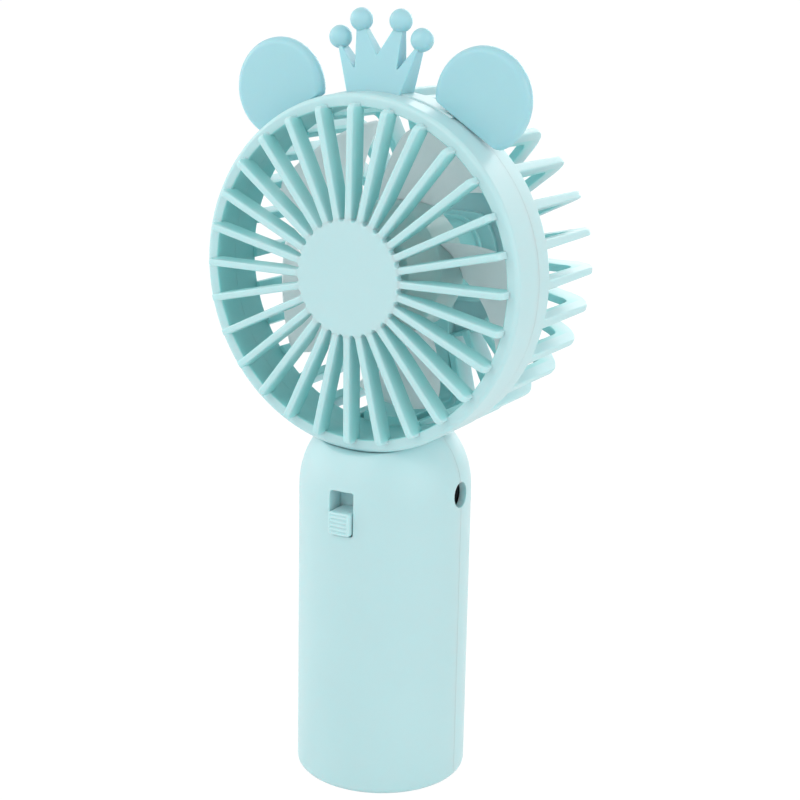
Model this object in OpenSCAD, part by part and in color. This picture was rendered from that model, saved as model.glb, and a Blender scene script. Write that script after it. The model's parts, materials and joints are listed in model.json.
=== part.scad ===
// Handheld electric fan: a caged fan head with round ears and a crown, on a straight round handle.
// Millimetres. +Z is up, the fan blows towards -Y, and the origin is the middle of the base.

/* [Head] */
// Outer radius of the ring round the fan
ring_r = 42; // [41.8:0.1:42.2]
// Radial wall of the ring
ring_wall = 3.1; // [3:0.1:3.2]
// Height of the fan's axis above the base
head_z = 127.6; // [127.4:0.1:127.8]
// Front face of the ring, along Y
ring_front_y = -15.7; // [-16:0.1:-15.5]
// Seam between the front grille and the rear cage, along Y
seam_y = -5.3; // [-5.4:0.1:-5.2]
// Rear edge of the ring, along Y
ring_back_y = 0.4; // [0.3:0.1:0.6]
// Number of ribs, front and rear
rib_count = 28; // [28]
// Radius of the plain disc in the middle of the grille
disc_r = 13.3; // [13:0.1:13.6]
// Front face of that disc, along Y
disc_front_y = -19.7; // [-20:0.1:-19.5]
// Width of a grille rib
grille_rib_t = 1.6; // [1.5:0.1:1.8]
// Width of a cage rib
cage_rib_t = 1.9; // [1.7:0.1:2.1]
// Rear face of the cage, along Y
cage_back_y = 30.2; // [29.8:0.1:30.4]

/* [Topper] */
// Angle of an ear from the horizontal, round the fan's axis
ear_angle = 56.9; // [56:0.1:58]
// Distance of an ear's centre from the fan's axis
ear_reach = 49.25; // [49:0.05:49.5]
// Radius of an ear
ear_r = 12; // [11.5:0.1:12.5]
// Thickness of an ear
ear_t = 4.2; // [4:0.1:4.6]
// Radius of the crown's balls
ball_r = 2.7; // [2.5:0.1:2.9]

/* [Impeller] */
// Number of blades
blade_count = 5; // [3:1:6]
// Radius at the blade tips
blade_tip_r = 35; // [33:0.5:36]
// Axial depth of a blade
blade_depth = 9.5; // [8:0.5:10]
// Radius of the impeller's hub
hub_r = 16.2; // [16:0.1:16.4]

/* [Handle] */
// Outer radius of the handle
handle_r = 21.2; // [21.1:0.1:21.3]
// Wall of the handle shells
handle_wall = 1.9; // [1.8:0.1:2]
// Height where the straight side turns into the dome
dome_z = 73.8; // [73.6:0.1:74]
// Rounding of the base's edge
base_round = 1.8; // [1.5:0.1:2]

/* [Switch and charging hole] */
// Lower edge of the switch slot
slot_z = 66; // [65.8:0.1:66.2]
// Height of the switch slot
slot_h = 10.8; // [10.7:0.1:10.9]
// Width of the switch slot
slot_w = 6.5; // [6.3:0.1:6.7]
// Travel of the switch button
switch_travel = 4.2; // [3.8:0.1:4.2]
// Height of the charging hole's centre
jack_z = 74.2; // [74:0.1:74.3]
// Radius of the charging hole in the shells
jack_hole_r = 3.1; // [3.05:0.05:3.2]

/* [Battery] */
// Radius of the battery cell
cell_r = 9.15; // [9:0.05:9.2]
// Length of the battery cell
cell_h = 65; // [64:0.5:65]

/* [Hidden] */
$fn = 96;

// Colours
mint = "#bfe3e3";
teal = "#9ad2da";
frosted = "#dcd9e6";
steel = "#b8bcc0";
copper = "#b87333";
bronze = "#a9865b";
magnet_grey = "#3c3d40";
board_green = "#2f6b45";
dark_plastic = "#2b2d30";
cell_wrap = "#3f7fb5";
lead_red = "#b8332c";

// Ring and ribs
ring_in = ring_r - ring_wall;
rib_step = 360 / rib_count;
ring_edge_round = 1.2;
spigot_wall = 1.4;
spigot_len = 3;
spigot_gap = 0.05;
snap_gap = 0.15;
disc_t = 2.3;
disc_edge_round = 0.6;
rib_depth = 5.4;
rib_tip_r = 40.8;
rib_tip_round = 2;
rib_front_y = -19.3;
rib_full_r = 20;
bite = 0.8;
past = 2;
touch = 0.05;

// Rear cage
cage_r = ring_r - 0.1;
cage_arm = 4;
cage_bar = 7.5;
cage_corner_r = 6.5;
cage_inner_r = 2.4;
plate_r = 21.5;
plate_t = 4;
plate_back_y = cage_back_y + touch;
plate_rim = 1.2;
plate_rim_y = 24;
// Radius and half height between the flats: raised seat, lip, outside and inside of the motor cup
seat = [16.2, 11.4];
seat_y = 24.8;
lip = [12.6, 10.4];
lip_y = 24;
cup = [11.5, 9.35];
cup_in = [10.3, 8.15];
cup_front_y = 0.2;
cup_front_t = 1.6;
cup_hole_r = 3.15;
duct_top_w = 8;
duct_w = 12.4;
duct_front_y = 23.2;
duct_depth = 5.2;
channel_w = 5.2;
channel_y = [24.7, 27.4];
channel_floor = [40.2, 37.6];
slit_size = [0.5, 2.4, 4.6];
slit_at = [2.2, 27];

// Neck that joins the head to the handle
neck_y = 2.2;
neck_r = 7;
neck_top_z = head_z - 40.6;
flange_r = 9.8;
flange_z = [81, 83];
neck_bore_y = [3, 6];

// Hub cover and its screws
cover_r = 17.6;
cover_y = [30.35, 32.9];
cover_round = 1.2;
plug_wall = 1.2;
plug_y = 29.1;
hub_screw_x = 14;
hub_boss_r = 2.4;
hub_boss_y = 22.6;
hub_boss_end = 0.4;
hub_pilot_r = 0.95;
hub_screw_r = 0.85;
hub_screw_end_y = 25;
hub_head_r = 1.9;
hub_head_y = [31.4, 32.7];
// Length and width as shares of a screw head's radius, depth as a share of its height
cross_slot = [1.3, 0.2, 0.45];

// Topper
band_r = [ring_r - 0.4, ring_r + 0.35];
band_y = [-8.3, -2.3];
band_angles = [61.6, 118.4];
band_gap = 0.05;
band_end_gap = 0.2;
topper_mid_y = (band_y[0] + band_y[1]) / 2;
tang = [2.2, 1.9, 5.9];
tang_r = ring_r - 1.25;
ear_chord = ring_r + 0.45;
ear_mid_y = -5.9;
ear_edge_round = 1.8;
crown_mid_y = -5.6;
crown_base_t = 7.6;
crown_top_t = 1.2;
crown_root_z = 40.4;
crown_wedge_z = [39.4, 58];
crown_foot = 6.7;
outer_ball = [10.8, 53.8];
inner_ball = [5.2, 57.9];
side_valley = [5.5, 46.7];
middle_valley = 50;
spike_tip = 1;
inner_tip_sink = 1;
outer_tip = [[10.1, 52.3], [10.75, 52.5]];

// Impeller
hub_nose_r = 10.8;
hub_nose_y = -9.7;
hub_shoulder_y = -3.8;
hub_back_y = 8;
hub_wall = 1.2;
hub_boss = 3.2;
hub_boss_end_y = -1.2;
blade_front_y = -1.5;
blade_root_r = hub_r - 0.7;
blade_lead = [27, 8];
blade_trail = [-7, -43.5];
blade_t = [1.5, 1.1];
blade_camber = 0.1;
blade_corner = [0.8, 5];
blade_rows = 8;
blade_columns = 8;

// Motor
shaft_r = 1;
shaft_y = [-8.2, 17.3];
shaft_slip = 0.02;
can_r = 10.1;
can_flat = 8;
can_wall = 0.8;
can_y = [2, 15.2];
can_nose_r = 3;
can_nose_y = 0.7;
bush_r = 1.9;
bush_bore_r = shaft_r + 0.03;
bush_seat_r = bush_r + shaft_slip;
front_bush_y = [0.7, 3.4];
rear_bush_y = [15.55, 18];
magnet_r = [7.6, 9.25];
magnet_y = [4, 13.2];
magnet_span = 100;
core_r = 7;
core_hub_r = 2.6;
core_y = [5, 12];
pole_angles = [90, 210, 330];
pole_neck = 2;
pole_shoe = 1.1;
pole_span = 84;
coil_r = [2.9, 5.3];
coil_w = 4.6;
coil_y = [4.2, 12.8];
coil_gap = 0.1;
commutator_r = 2.3;
commutator_y = [12.95, 14.9];
cap_y = [15.25, 17.2];
cap_boss_y = 18.6;
brush_x = 2.45;
brush = [0.3, 2.2, 1.6];
terminal_x = 5;
terminal = [0.5, 3.1, 2];

// Handle
split_gap = 0.1;
handle_in = handle_r - handle_wall;
floor_t = 2.4;
saddle_gap = 0.15;
screw_x = 14.3;
screw_z = [18, 50];
boss_r = 2.8;
tower_r = 3.4;
pilot_r = 1.2;
screw_r = 1.15;
screw_head_r = 2.3;
screw_head_y = [8, 9.8];
screw_end_y = -7;
head_bore_r = 2.6;
rear_rib_z = [12, 36, 60];
front_rib_z = [28, 42];
rib_plate_t = 1.6;
far = 60;

// Switch
chimney_wall = 1.6;
chimney_y = -15.95;
plate_gap = 0.25;
// How far the plate reaches past the slot below and above at the ends of its travel
plate_lap = [0.2, 0.4];
button_plate = [8.8, 1, slot_h + switch_travel + plate_lap[0] + plate_lap[1]];
button_plate_z = slot_z - switch_travel - plate_lap[0];
thumb = [5.9, 6.6, 5.7];
thumb_z = slot_z + 0.25;
thumb_grooves = 5;
groove_r = 0.32;
stem_z = 67.2;
stem_half = 0.9;
stem_slip = 0.1;
stem_y = [-14.5, -9.9];
fork = [4.4, 2.5, 4.6];

// Board and jack
board = [24, 1.2, 22];
board_y = -7.7;
board_z = 57;
board_back_y = board_y + board[1];
post_x = 9.5;
post_z = 60;
post_r = 2.2;
board_hole_r = 1;
board_screw_r = 0.9;
board_head_r = 1.7;
board_head_t = 1.3;
board_screw_end_y = -12.5;
chip = [4.4, 1.5, 5];
chip_at = [5.6, 66];
coil_drum = [2.4, 2.8];
coil_drum_at = [-8.5, 68];
capacitor = [1.8, 4];
capacitor_at = [-8, 75];
switch_case = [8.6, 4.5, 9];
switch_case_z = 64.8;
stem_slot = [2.3, 3, 6.8];
stem_room = 0.4;
jack_body = [8.8, 11.1, 9];
jack_x = 8;
jack_nose_r = 4.3;
jack_nose_x = 18.5;
jack_bore_r = 2.8;
jack_bore_len = 3.4;
jack_chamber_r = 3.3;
jack_back_t = 1.2;
jack_pin_r = 1.05;
jack_pin_x = [9.3, 14.8];
contact = [0.6, 4.8, 1.6];
contact_rise = 2.5;

// Battery
cell_at = [0, 4.5, 3];
cell_button = [2.6, 0.6];
cell_slip = 0.2;
tab_t = 0.25;
tab_w = 4;
tab_reach = 8.75;
tab_up = 5.5;

// Leads
lead_d = 1.2;
lead_x = 1;
lead_bend = 1;
lead_start_y = 21.1;
lead_drop = 6;
lead_end_z = [78.5, 76];
lead_rest = 0.7;
lead_foot = [2, 2.5];
bend_steps = 3;
wire_sides = 8;

// Lifts a piece to the height of the fan's axis
module at_head() {
    translate([0, 0, head_z])
        children();
}

// Turns an outline of (radius, y) about the fan's axis
module head_turn() {
    at_head()
        rotate([-90, 0, 0])
            rotate_extrude()
                children();
}

// Turns an outline of (radius, y) about the fan's axis, between two angles
module head_arc(a0, a1) {
    at_head()
        rotate([-90, 0, 0])
            rotate([0, 0, -a1])
                rotate_extrude(angle = a1 - a0)
                    children();
}

// Thickens an outline of (radius, y) into a rib at an angle round the fan's axis
module head_rib(t, angle) {
    at_head()
        rotate([0, -angle, 0])
            linear_extrude(t, center = true)
                children();
}

// Extrudes an outline of (x, height above the fan's axis) between two places along Y
module head_slab(y0, y1) {
    translate([0, y1, head_z])
        rotate([90, 0, 0])
            linear_extrude(y1 - y0)
                children();
}

// A rod along +Y from y0 to y1
module y_rod(r, y0, y1) {
    translate([0, y0, 0])
        rotate([-90, 0, 0])
            cylinder(r = r, h = y1 - y0);
}

// A rod along +X from x0 to x1
module x_rod(r, x0, x1) {
    translate([x0, 0, 0])
        rotate([0, 90, 0])
            cylinder(r = r, h = x1 - x0);
}

// A plain ring along the fan's axis
module y_ring(r0, r1, y0, y1) {
    head_turn()
        translate([r0, y0])
            square([r1 - r0, y1 - y0]);
}

// Direction of a vector
function unit(v) = v / norm(v);

// Points that turn the corner at b into a short curve
function bend(a, b, c) =
    let (from = b + lead_bend * unit(a - b), to = b + lead_bend * unit(c - b))
    [for (k = [0 : bend_steps])
        let (t = k / bend_steps)
        (1 - t) * (1 - t) * from + 2 * t * (1 - t) * b + t * t * to];

// Direction in which a route runs at its point i
function heading(p, i) = unit(p[min(i + 1, len(p) - 1)] - p[max(i - 1, 0)]);

// Point k of the ring of a wire round point i of its route
function wire_ring(p, i, k) =
    let (
        along_dir = heading(p, i),
        out_dir = unit(cross(along_dir, [1, 0, 0])),
        side_dir = cross(along_dir, out_dir),
        a = 360 * k / wire_sides
    )
    p[i] + lead_d / 2 * (cos(a) * out_dir + sin(a) * side_dir);

// A round wire through a list of points, with its corners eased
module wire(corners) {
    last = len(corners) - 1;
    route = concat(
        [corners[0]],
        [for (i = [1 : last - 1]) each bend(corners[i - 1], corners[i], corners[i + 1])],
        [corners[last]]
    );
    rings = len(route);
    points = [for (i = [0 : rings - 1], k = [0 : wire_sides - 1]) wire_ring(route, i, k)];
    function at(i, k) = i * wire_sides + k % wire_sides;
    faces = concat(
        [for (k = [1 : wire_sides - 2]) [at(0, 0), at(0, k), at(0, k + 1)]],
        [for (k = [1 : wire_sides - 2]) [at(rings - 1, 0), at(rings - 1, k + 1), at(rings - 1, k)]],
        [for (i = [0 : rings - 2], k = [0 : wire_sides - 1]) each [
            [at(i, k), at(i + 1, k), at(i + 1, k + 1)],
            [at(i, k), at(i + 1, k + 1), at(i, k + 1)]
        ]]
    );
    polyhedron(points = points, faces = faces);
}

// The area from (r0, y0) to (r1, y1), with its far corner rounded
module rounded_region(r0, y0, r1, y1, round) {
    translate([r0, y0])
        square([r1 - round - r0, y1 - y0]);
    translate([r0, y0])
        square([r1 - r0, y1 - round - y0]);
    translate([r1 - round, y1 - round])
        circle(round);
}

// A circle with its top and bottom cut flat: its radius and half the height between the flats
module flatted(size) {
    intersection() {
        circle(size[0]);
        square([2 * size[0] + past, 2 * size[1]], center = true);
    }
}

// The tangs of the crown and the ears, or the slots that hold them
module tang_at(angle, gap) {
    at_head()
        rotate([0, -angle, 0])
            translate([tang_r - gap, topper_mid_y - tang[1] / 2 - gap, -tang[2] / 2 - gap])
                cube([tang[0] + gap, tang[1] + 2 * gap, tang[2] + 2 * gap]);
}

// The slots in the ring for the tangs, and the shallow seat of the band
module topper_seats() {
    for (a = [ear_angle, 90, 180 - ear_angle])
        tang_at(a, snap_gap);
    head_arc(band_angles[0] - band_end_gap, band_angles[1] + band_end_gap)
        translate([band_r[0] - band_gap, band_y[0] - snap_gap])
            square([past, band_y[1] - band_y[0] + 2 * snap_gap]);
}

// Side outline of one grille rib: a straight shallow slope that drops over the ring's face
module grille_rib_outline() {
    slope = (rib_front_y - disc_front_y) / (rib_tip_r - rib_tip_round - disc_r);
    full_y = disc_front_y + slope * (rib_full_r - disc_r) + rib_depth;
    polygon([
        [disc_r - bite, disc_front_y - slope * bite],
        [rib_tip_r - rib_tip_round, rib_front_y],
        [rib_tip_r - rib_tip_round, rib_front_y + rib_tip_round],
        [rib_tip_r, rib_front_y + rib_tip_round],
        [rib_tip_r, ring_front_y + bite],
        [ring_in + bite, ring_front_y + bite],
        [ring_in + bite, rib_front_y + rib_depth],
        [rib_full_r, full_y],
        [disc_r - bite, disc_front_y + disc_t]
    ]);
    translate([rib_tip_r - rib_tip_round, rib_front_y + rib_tip_round])
        circle(rib_tip_round);
}

module front_grille() {
    color(mint) difference() {
        union() {
            head_turn()
                mirror([0, 1])
                    rounded_region(0, -disc_front_y - disc_t, disc_r, -disc_front_y, disc_edge_round);
            for (i = [0 : rib_count - 1])
                head_rib(grille_rib_t, i * rib_step)
                    grille_rib_outline();
        }
        y_ring(ring_in, ring_r + past, ring_front_y, seam_y);
    }
}

// The ring's front half, with a step inside for the spigot of the rear half
module front_ring() {
    color(mint) difference() {
        head_turn()
            difference() {
                mirror([0, 1])
                    rounded_region(ring_in, -seam_y, ring_r, -ring_front_y, ring_edge_round);
                translate([ring_in - past, seam_y - spigot_len - spigot_gap])
                    square([past + spigot_wall + spigot_gap, spigot_len + spigot_gap + past]);
            }
        topper_seats();
    }
}

// Side outline of one L-shaped cage rib
module cage_rib_outline() {
    difference() {
        rounded_region(plate_r - bite, ring_back_y, cage_r, cage_back_y, cage_corner_r);
        rounded_region(0, seam_y, cage_r - cage_arm, cage_back_y - cage_bar, cage_inner_r);
    }
}

// Closed L-shaped duct for the motor's leads, wider towards the ring
module wire_duct() {
    intersection() {
        union() {
            head_slab(duct_front_y, cage_back_y + past)
                polygon([
                    [-duct_top_w / 2, -plate_r + bite],
                    [duct_top_w / 2, -plate_r + bite],
                    [duct_w / 2, -cage_r + bite],
                    [duct_w / 2, -cage_r - past],
                    [-duct_w / 2, -cage_r - past],
                    [-duct_w / 2, -cage_r + bite]
                ]);
            translate([-duct_w / 2, ring_back_y - bite, head_z - cage_r - past])
                cube([duct_w, cage_back_y - ring_back_y + bite + past, duct_depth + past]);
        }
        head_turn()
            rounded_region(plate_r, seam_y, cage_r, cage_back_y - touch, cage_corner_r);
    }
}

// The hollow of the duct, from the motor cup to the foot of the neck
module wire_channel() {
    bend_h = channel_floor[0] - channel_floor[1];
    translate([-channel_w / 2, channel_y[0], head_z - channel_floor[0]])
        cube([channel_w, channel_y[1] - channel_y[0], channel_floor[0] - cup_in[1] + bite]);
    translate([-channel_w / 2, neck_bore_y[0], head_z - channel_floor[0]])
        cube([channel_w, channel_y[1] - neck_bore_y[0], bend_h]);
    translate([-channel_w / 2, neck_bore_y[0], flange_z[0] - bite])
        cube([channel_w, neck_bore_y[1] - neck_bore_y[0], head_z - channel_floor[1] - flange_z[0] + bite]);
    translate([slit_at[0], duct_front_y - bite, head_z - slit_at[1] - slit_size[2]])
        cube(slit_size);
}

// The ring's rear half with its spigot, the neck and the duct for the leads
module rear_ring() {
    color(mint) difference() {
        union() {
            head_turn() {
                translate([ring_in, seam_y])
                    square([ring_wall, ring_back_y - seam_y]);
                translate([ring_in, seam_y - spigot_len])
                    square([spigot_wall, spigot_len + bite]);
            }
            wire_duct();
            translate([0, neck_y, flange_z[0]])
                cylinder(r = neck_r, h = neck_top_z - flange_z[0]);
            translate([0, neck_y, flange_z[0]])
                cylinder(r = flange_r, h = flange_z[1] - flange_z[0]);
        }
        wire_channel();
        topper_seats();
    }
}

// The L-shaped ribs between the ring and the hub plate, all but the one in the duct's place
module rear_cage() {
    color(mint) difference() {
        for (i = [0 : rib_count - 1])
            if (i * rib_step != 270)
                head_rib(cage_rib_t, i * rib_step)
                    cage_rib_outline();
        at_head()
            y_rod(plate_r, ring_back_y, cage_back_y + past);
        wire_duct();
    }
}

// The hub plate with its raised seat, its screw bosses and the flat-sided motor cup
module hub_plate() {
    color(mint) difference() {
        union() {
            head_turn() {
                translate([0, plate_back_y - plate_t])
                    square([plate_r, plate_t]);
                translate([plate_r - plate_rim, plate_rim_y])
                    square([plate_rim, plate_back_y - plate_rim_y]);
            }
            head_slab(seat_y, plate_back_y)
                flatted(seat);
            head_slab(lip_y, plate_back_y)
                flatted(lip);
            head_slab(cup_front_y, plate_back_y)
                flatted(cup);
            at_head()
                for (side = [-1, 1])
                    translate([side * hub_screw_x, 0, 0])
                        y_rod(hub_boss_r, hub_boss_y, plate_back_y);
        }
        head_slab(cup_front_y + cup_front_t, plate_back_y + past)
            flatted(cup_in);
        at_head()
            y_rod(cup_hole_r, cup_front_y - past, cup_front_y + past);
        wire_channel();
        at_head()
            for (side = [-1, 1])
                translate([side * hub_screw_x, 0, 0])
                    y_rod(hub_pilot_r, hub_boss_y + hub_boss_end, cage_back_y + past);
    }
}

module hub_cover() {
    color(mint) difference() {
        union() {
            head_turn()
                rounded_region(0, cover_y[0], cover_r, cover_y[1], cover_round);
            head_slab(plug_y, cover_y[0] + bite)
                difference() {
                    flatted([cup_in[0] - snap_gap, cup_in[1] - snap_gap]);
                    flatted([cup_in[0] - plug_wall, cup_in[1] - plug_wall]);
                }
        }
        at_head()
            for (side = [-1, 1])
                translate([side * hub_screw_x, 0, 0]) {
                    y_rod(hub_pilot_r + snap_gap, cover_y[0] - past, cover_y[1] + past);
                    y_rod(hub_head_r + snap_gap, hub_head_y[0] - touch, cover_y[1] + past);
                }
    }
}

// A pan-head screw along Y with a crossed slot, its head between two places along Y
module cross_screw(r, end_y, head_r, head_y) {
    slot_l = cross_slot[0] * head_r;
    slot_w = cross_slot[1] * head_r;
    slot_d = cross_slot[2] * (head_y[1] - head_y[0]);
    y_rod(r, end_y, head_y[1] - slot_d);
    difference() {
        y_rod(head_r, head_y[0], head_y[1]);
        for (turn = [0, 90])
            rotate([0, turn, 0])
                translate([-slot_l / 2, head_y[1] - slot_d, -slot_w / 2])
                    cube([slot_l, past, slot_w]);
    }
}

module hub_screws() {
    color(steel)
        at_head()
            for (side = [-1, 1])
                translate([side * hub_screw_x, 0, 0])
                    cross_screw(hub_screw_r, hub_screw_end_y, hub_head_r, hub_head_y);
}

// Front outline of the crown: four spikes over a narrower foot
module crown_outline() {
    right = [
        [spike_tip + inner_ball[0], inner_ball[1] - inner_tip_sink],
        side_valley,
        outer_tip[0],
        outer_tip[1],
        [crown_foot, crown_root_z]
    ];
    left = [for (i = [len(right) - 1 : -1 : 0]) [-right[i][0], right[i][1]]];
    polygon(concat(
        [[0, middle_valley], [inner_ball[0] - spike_tip, inner_ball[1] - inner_tip_sink]],
        right,
        left,
        [[spike_tip - inner_ball[0], inner_ball[1] - inner_tip_sink]]
    ));
}

// Side outline of the crown, thinner towards the tips
module crown_wedge() {
    at_head()
        translate([-far / 2, crown_mid_y, 0])
            rotate([90, 0, 90])
                linear_extrude(far)
                    polygon([
                        [-crown_base_t / 2, crown_wedge_z[0]],
                        [crown_base_t / 2, crown_wedge_z[0]],
                        [crown_top_t / 2, crown_wedge_z[1]],
                        [-crown_top_t / 2, crown_wedge_z[1]]
                    ]);
}

module crown_band() {
    color(teal) {
        difference() {
            union() {
                intersection() {
                    head_slab(crown_mid_y - crown_base_t / 2, crown_mid_y + crown_base_t / 2)
                        crown_outline();
                    crown_wedge();
                }
                head_arc(band_angles[0], band_angles[1])
                    translate([band_r[0], band_y[0]])
                        square([band_r[1] - band_r[0], band_y[1] - band_y[0]]);
                tang_at(90, 0);
                at_head()
                    for (side = [-1, 1], ball = [outer_ball, inner_ball])
                        translate([side * ball[0], crown_mid_y, ball[1]])
                            sphere(ball_r);
            }
            difference() {
                union() {
                    at_head()
                        y_rod(band_r[0], -far, far);
                    y_ring(0, ring_r + touch, -far, band_y[0]);
                    y_ring(0, ring_r + touch, band_y[1], far);
                }
                tang_at(90, 0);
            }
        }
    }
}

// A round-edged disc at an angle round the fan's axis, cut flat where it meets the ring
module ear(angle) {
    color(teal) {
        difference() {
            at_head()
                rotate([0, -angle, 0])
                    translate([ear_reach, ear_mid_y, 0])
                        rotate([-90, 0, 0])
                            rotate_extrude()
                                for (side = [0, 1])
                                    mirror([0, side])
                                        rounded_region(0, -touch, ear_r, ear_t / 2, ear_edge_round);
            at_head()
                rotate([0, -angle, 0])
                    translate([0, -far / 2, -far / 2])
                        cube([ear_chord, far, far]);
        }
        tang_at(angle, 0);
    }
}

module ear_left() {
    ear(180 - ear_angle);
}

module ear_right() {
    ear(ear_angle);
}

// Value part of the way from the root to the tip
function along(pair, s) = pair[0] + (pair[1] - pair[0]) * s;

// Angle by which a blade's corners are drawn in near the tip
function corner_pull(s) =
    s <= blade_corner[0] ? 0 :
    blade_corner[1] * (1 - sqrt(1 - pow((s - blade_corner[0]) / (1 - blade_corner[0]), 2)));

// Point of a blade at s from root to tip and c from its leading to its trailing edge
function blade_point(s, c, face) =
    let (
        r = blade_root_r + (blade_tip_r - blade_root_r) * s,
        a0 = along(blade_lead, s) - corner_pull(s),
        a1 = along(blade_trail, s) + corner_pull(s),
        a = a0 + (a1 - a0) * c,
        y = blade_front_y + blade_depth * (c + blade_camber * sin(180 * c)),
        t = along(blade_t, s)
    )
    [r * cos(a), y + face * t / 2, r * sin(a)];

// One swept blade as a closed grid of thin facets
module blade() {
    columns = blade_columns + 1;
    half = (blade_rows + 1) * columns;
    points = [
        for (face = [-1, 1], i = [0 : blade_rows], j = [0 : blade_columns])
            blade_point(i / blade_rows, j / blade_columns, face)
    ];
    function at(face, i, j) = face * half + i * columns + j;
    quads = concat(
        [for (i = [0 : blade_rows - 1], j = [0 : blade_columns - 1])
            [at(0, i, j), at(0, i + 1, j), at(0, i + 1, j + 1), at(0, i, j + 1)]],
        [for (i = [0 : blade_rows - 1], j = [0 : blade_columns - 1])
            [at(1, i, j + 1), at(1, i + 1, j + 1), at(1, i + 1, j), at(1, i, j)]],
        [for (j = [0 : blade_columns - 1], end = [0, blade_rows])
            end == 0 ?
            [at(0, 0, j), at(0, 0, j + 1), at(1, 0, j + 1), at(1, 0, j)] :
            [at(0, end, j + 1), at(0, end, j), at(1, end, j), at(1, end, j + 1)]],
        [for (i = [0 : blade_rows - 1], end = [0, blade_columns])
            end == 0 ?
            [at(0, i + 1, 0), at(0, i, 0), at(1, i, 0), at(1, i + 1, 0)] :
            [at(0, i, end), at(0, i + 1, end), at(1, i + 1, end), at(1, i, end)]]
    );
    faces = [for (q = quads, half_quad = [[0, 1, 2], [0, 2, 3]]) [for (k = half_quad) q[k]]];
    polyhedron(points = points, faces = faces);
}

module impeller() {
    color(frosted) difference() {
        union() {
            head_turn()
                difference() {
                    polygon([
                        [0, hub_nose_y], [hub_nose_r, hub_nose_y], [hub_r, hub_shoulder_y],
                        [hub_r, hub_back_y], [0, hub_back_y]
                    ]);
                    polygon([
                        [-past, hub_nose_y + hub_wall], [hub_nose_r - hub_wall / 2, hub_nose_y + hub_wall],
                        [hub_r - hub_wall, hub_shoulder_y + hub_wall / 4],
                        [hub_r - hub_wall, hub_back_y + past], [-past, hub_back_y + past]
                    ]);
                }
            y_ring(0, hub_boss, hub_nose_y + hub_wall / 2, hub_boss_end_y);
            at_head()
                for (i = [0 : blade_count - 1])
                    rotate([0, -360 / blade_count * i, 0])
                        blade();
        }
        at_head()
            y_rod(shaft_r + shaft_slip, shaft_y[0] - touch, hub_boss_end_y + past);
    }
}

module motor_shaft() {
    color(steel)
        at_head()
            y_rod(shaft_r, shaft_y[0], shaft_y[1]);
}

// End view of the three-pole core
module core_outline() {
    edge = [cos(pole_span / 2), sin(pole_span / 2)] * 2 * core_r;
    difference() {
        union() {
            circle(core_hub_r);
            for (a = pole_angles)
                rotate(a) {
                    translate([0, -pole_neck / 2])
                        square([core_r - pole_shoe / 2, pole_neck]);
                    intersection() {
                        difference() {
                            circle(core_r);
                            circle(core_r - pole_shoe);
                        }
                        polygon([[0, 0], [edge[0], -edge[1]], edge]);
                    }
                }
        }
        circle(shaft_r + shaft_slip);
    }
}

module armature_core() {
    color(steel)
        head_slab(core_y[0], core_y[1])
            core_outline();
}

module armature_windings() {
    neck = pole_neck / 2 + coil_gap;
    color(copper)
        for (a = pole_angles)
            at_head()
                rotate([0, -a, 0])
                    difference() {
                        translate([coil_r[0], coil_y[0], -coil_w / 2])
                            cube([coil_r[1] - coil_r[0], coil_y[1] - coil_y[0], coil_w]);
                        translate([0, core_y[0] - coil_gap, -neck])
                            cube([far, core_y[1] - core_y[0] + 2 * coil_gap, 2 * neck]);
                    }
}

module commutator() {
    color(copper)
        y_ring(shaft_r + shaft_slip, commutator_r, commutator_y[0], commutator_y[1]);
}

module motor_can() {
    color(steel)
        difference() {
            union() {
                head_slab(can_y[0], can_y[1])
                    flatted([can_r, can_flat]);
                y_ring(0, can_nose_r, can_nose_y, can_y[0] + can_wall / 2);
            }
            head_slab(can_y[0] + can_wall, can_y[1] + past)
                flatted([can_r - can_wall, can_flat - can_wall]);
            y_ring(0, bush_seat_r, can_nose_y - past, can_y[1]);
        }
}

module motor_magnets() {
    color(magnet_grey)
        for (a = [0, 180])
            head_arc(a - magnet_span / 2, a + magnet_span / 2)
                translate([magnet_r[0], magnet_y[0]])
                    square([magnet_r[1] - magnet_r[0], magnet_y[1] - magnet_y[0]]);
}

module motor_end_cap() {
    color(dark_plastic)
        difference() {
            union() {
                head_slab(cap_y[0], cap_y[1])
                    flatted([can_r, can_flat]);
                y_ring(0, can_nose_r, cap_y[0], cap_boss_y);
            }
            y_ring(0, bush_seat_r, cap_y[0] - past, cap_boss_y + past);
        }
}

module motor_bushes() {
    color(bronze) {
        y_ring(bush_bore_r, bush_r, front_bush_y[0], front_bush_y[1]);
        y_ring(bush_bore_r, bush_r, rear_bush_y[0], rear_bush_y[1]);
    }
}

module motor_brushes() {
    color(copper)
        at_head()
            for (side = [-1, 1])
                translate([side * (brush_x + brush[0] / 2), cap_y[0] - touch - brush[1] / 2, 0])
                    cube(brush, center = true);
}

module motor_terminals() {
    color(steel)
        at_head()
            for (side = [-1, 1])
                translate([side * terminal_x, cap_y[1] + touch + terminal[1] / 2, 0])
                    cube(terminal, center = true);
}

// Both leads run down the duct, forward under the cage and down the neck to the board
module motor_leads() {
    duct_y = (channel_y[0] + channel_y[1]) / 2;
    floor_z = head_z - (channel_floor[0] + channel_floor[1]) / 2;
    bore_y = (neck_bore_y[0] + neck_bore_y[1]) / 2;
    color(lead_red)
        for (side = [-1, 1])
            wire([
                [side * terminal_x, lead_start_y, head_z],
                [side * lead_x, duct_y, head_z - lead_drop],
                [side * lead_x, duct_y, floor_z],
                [side * lead_x, bore_y, floor_z],
                [side * lead_x, bore_y, lead_end_z[0]],
                [side * lead_x, board_back_y + lead_rest, lead_end_z[1]]
            ]);
}

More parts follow.
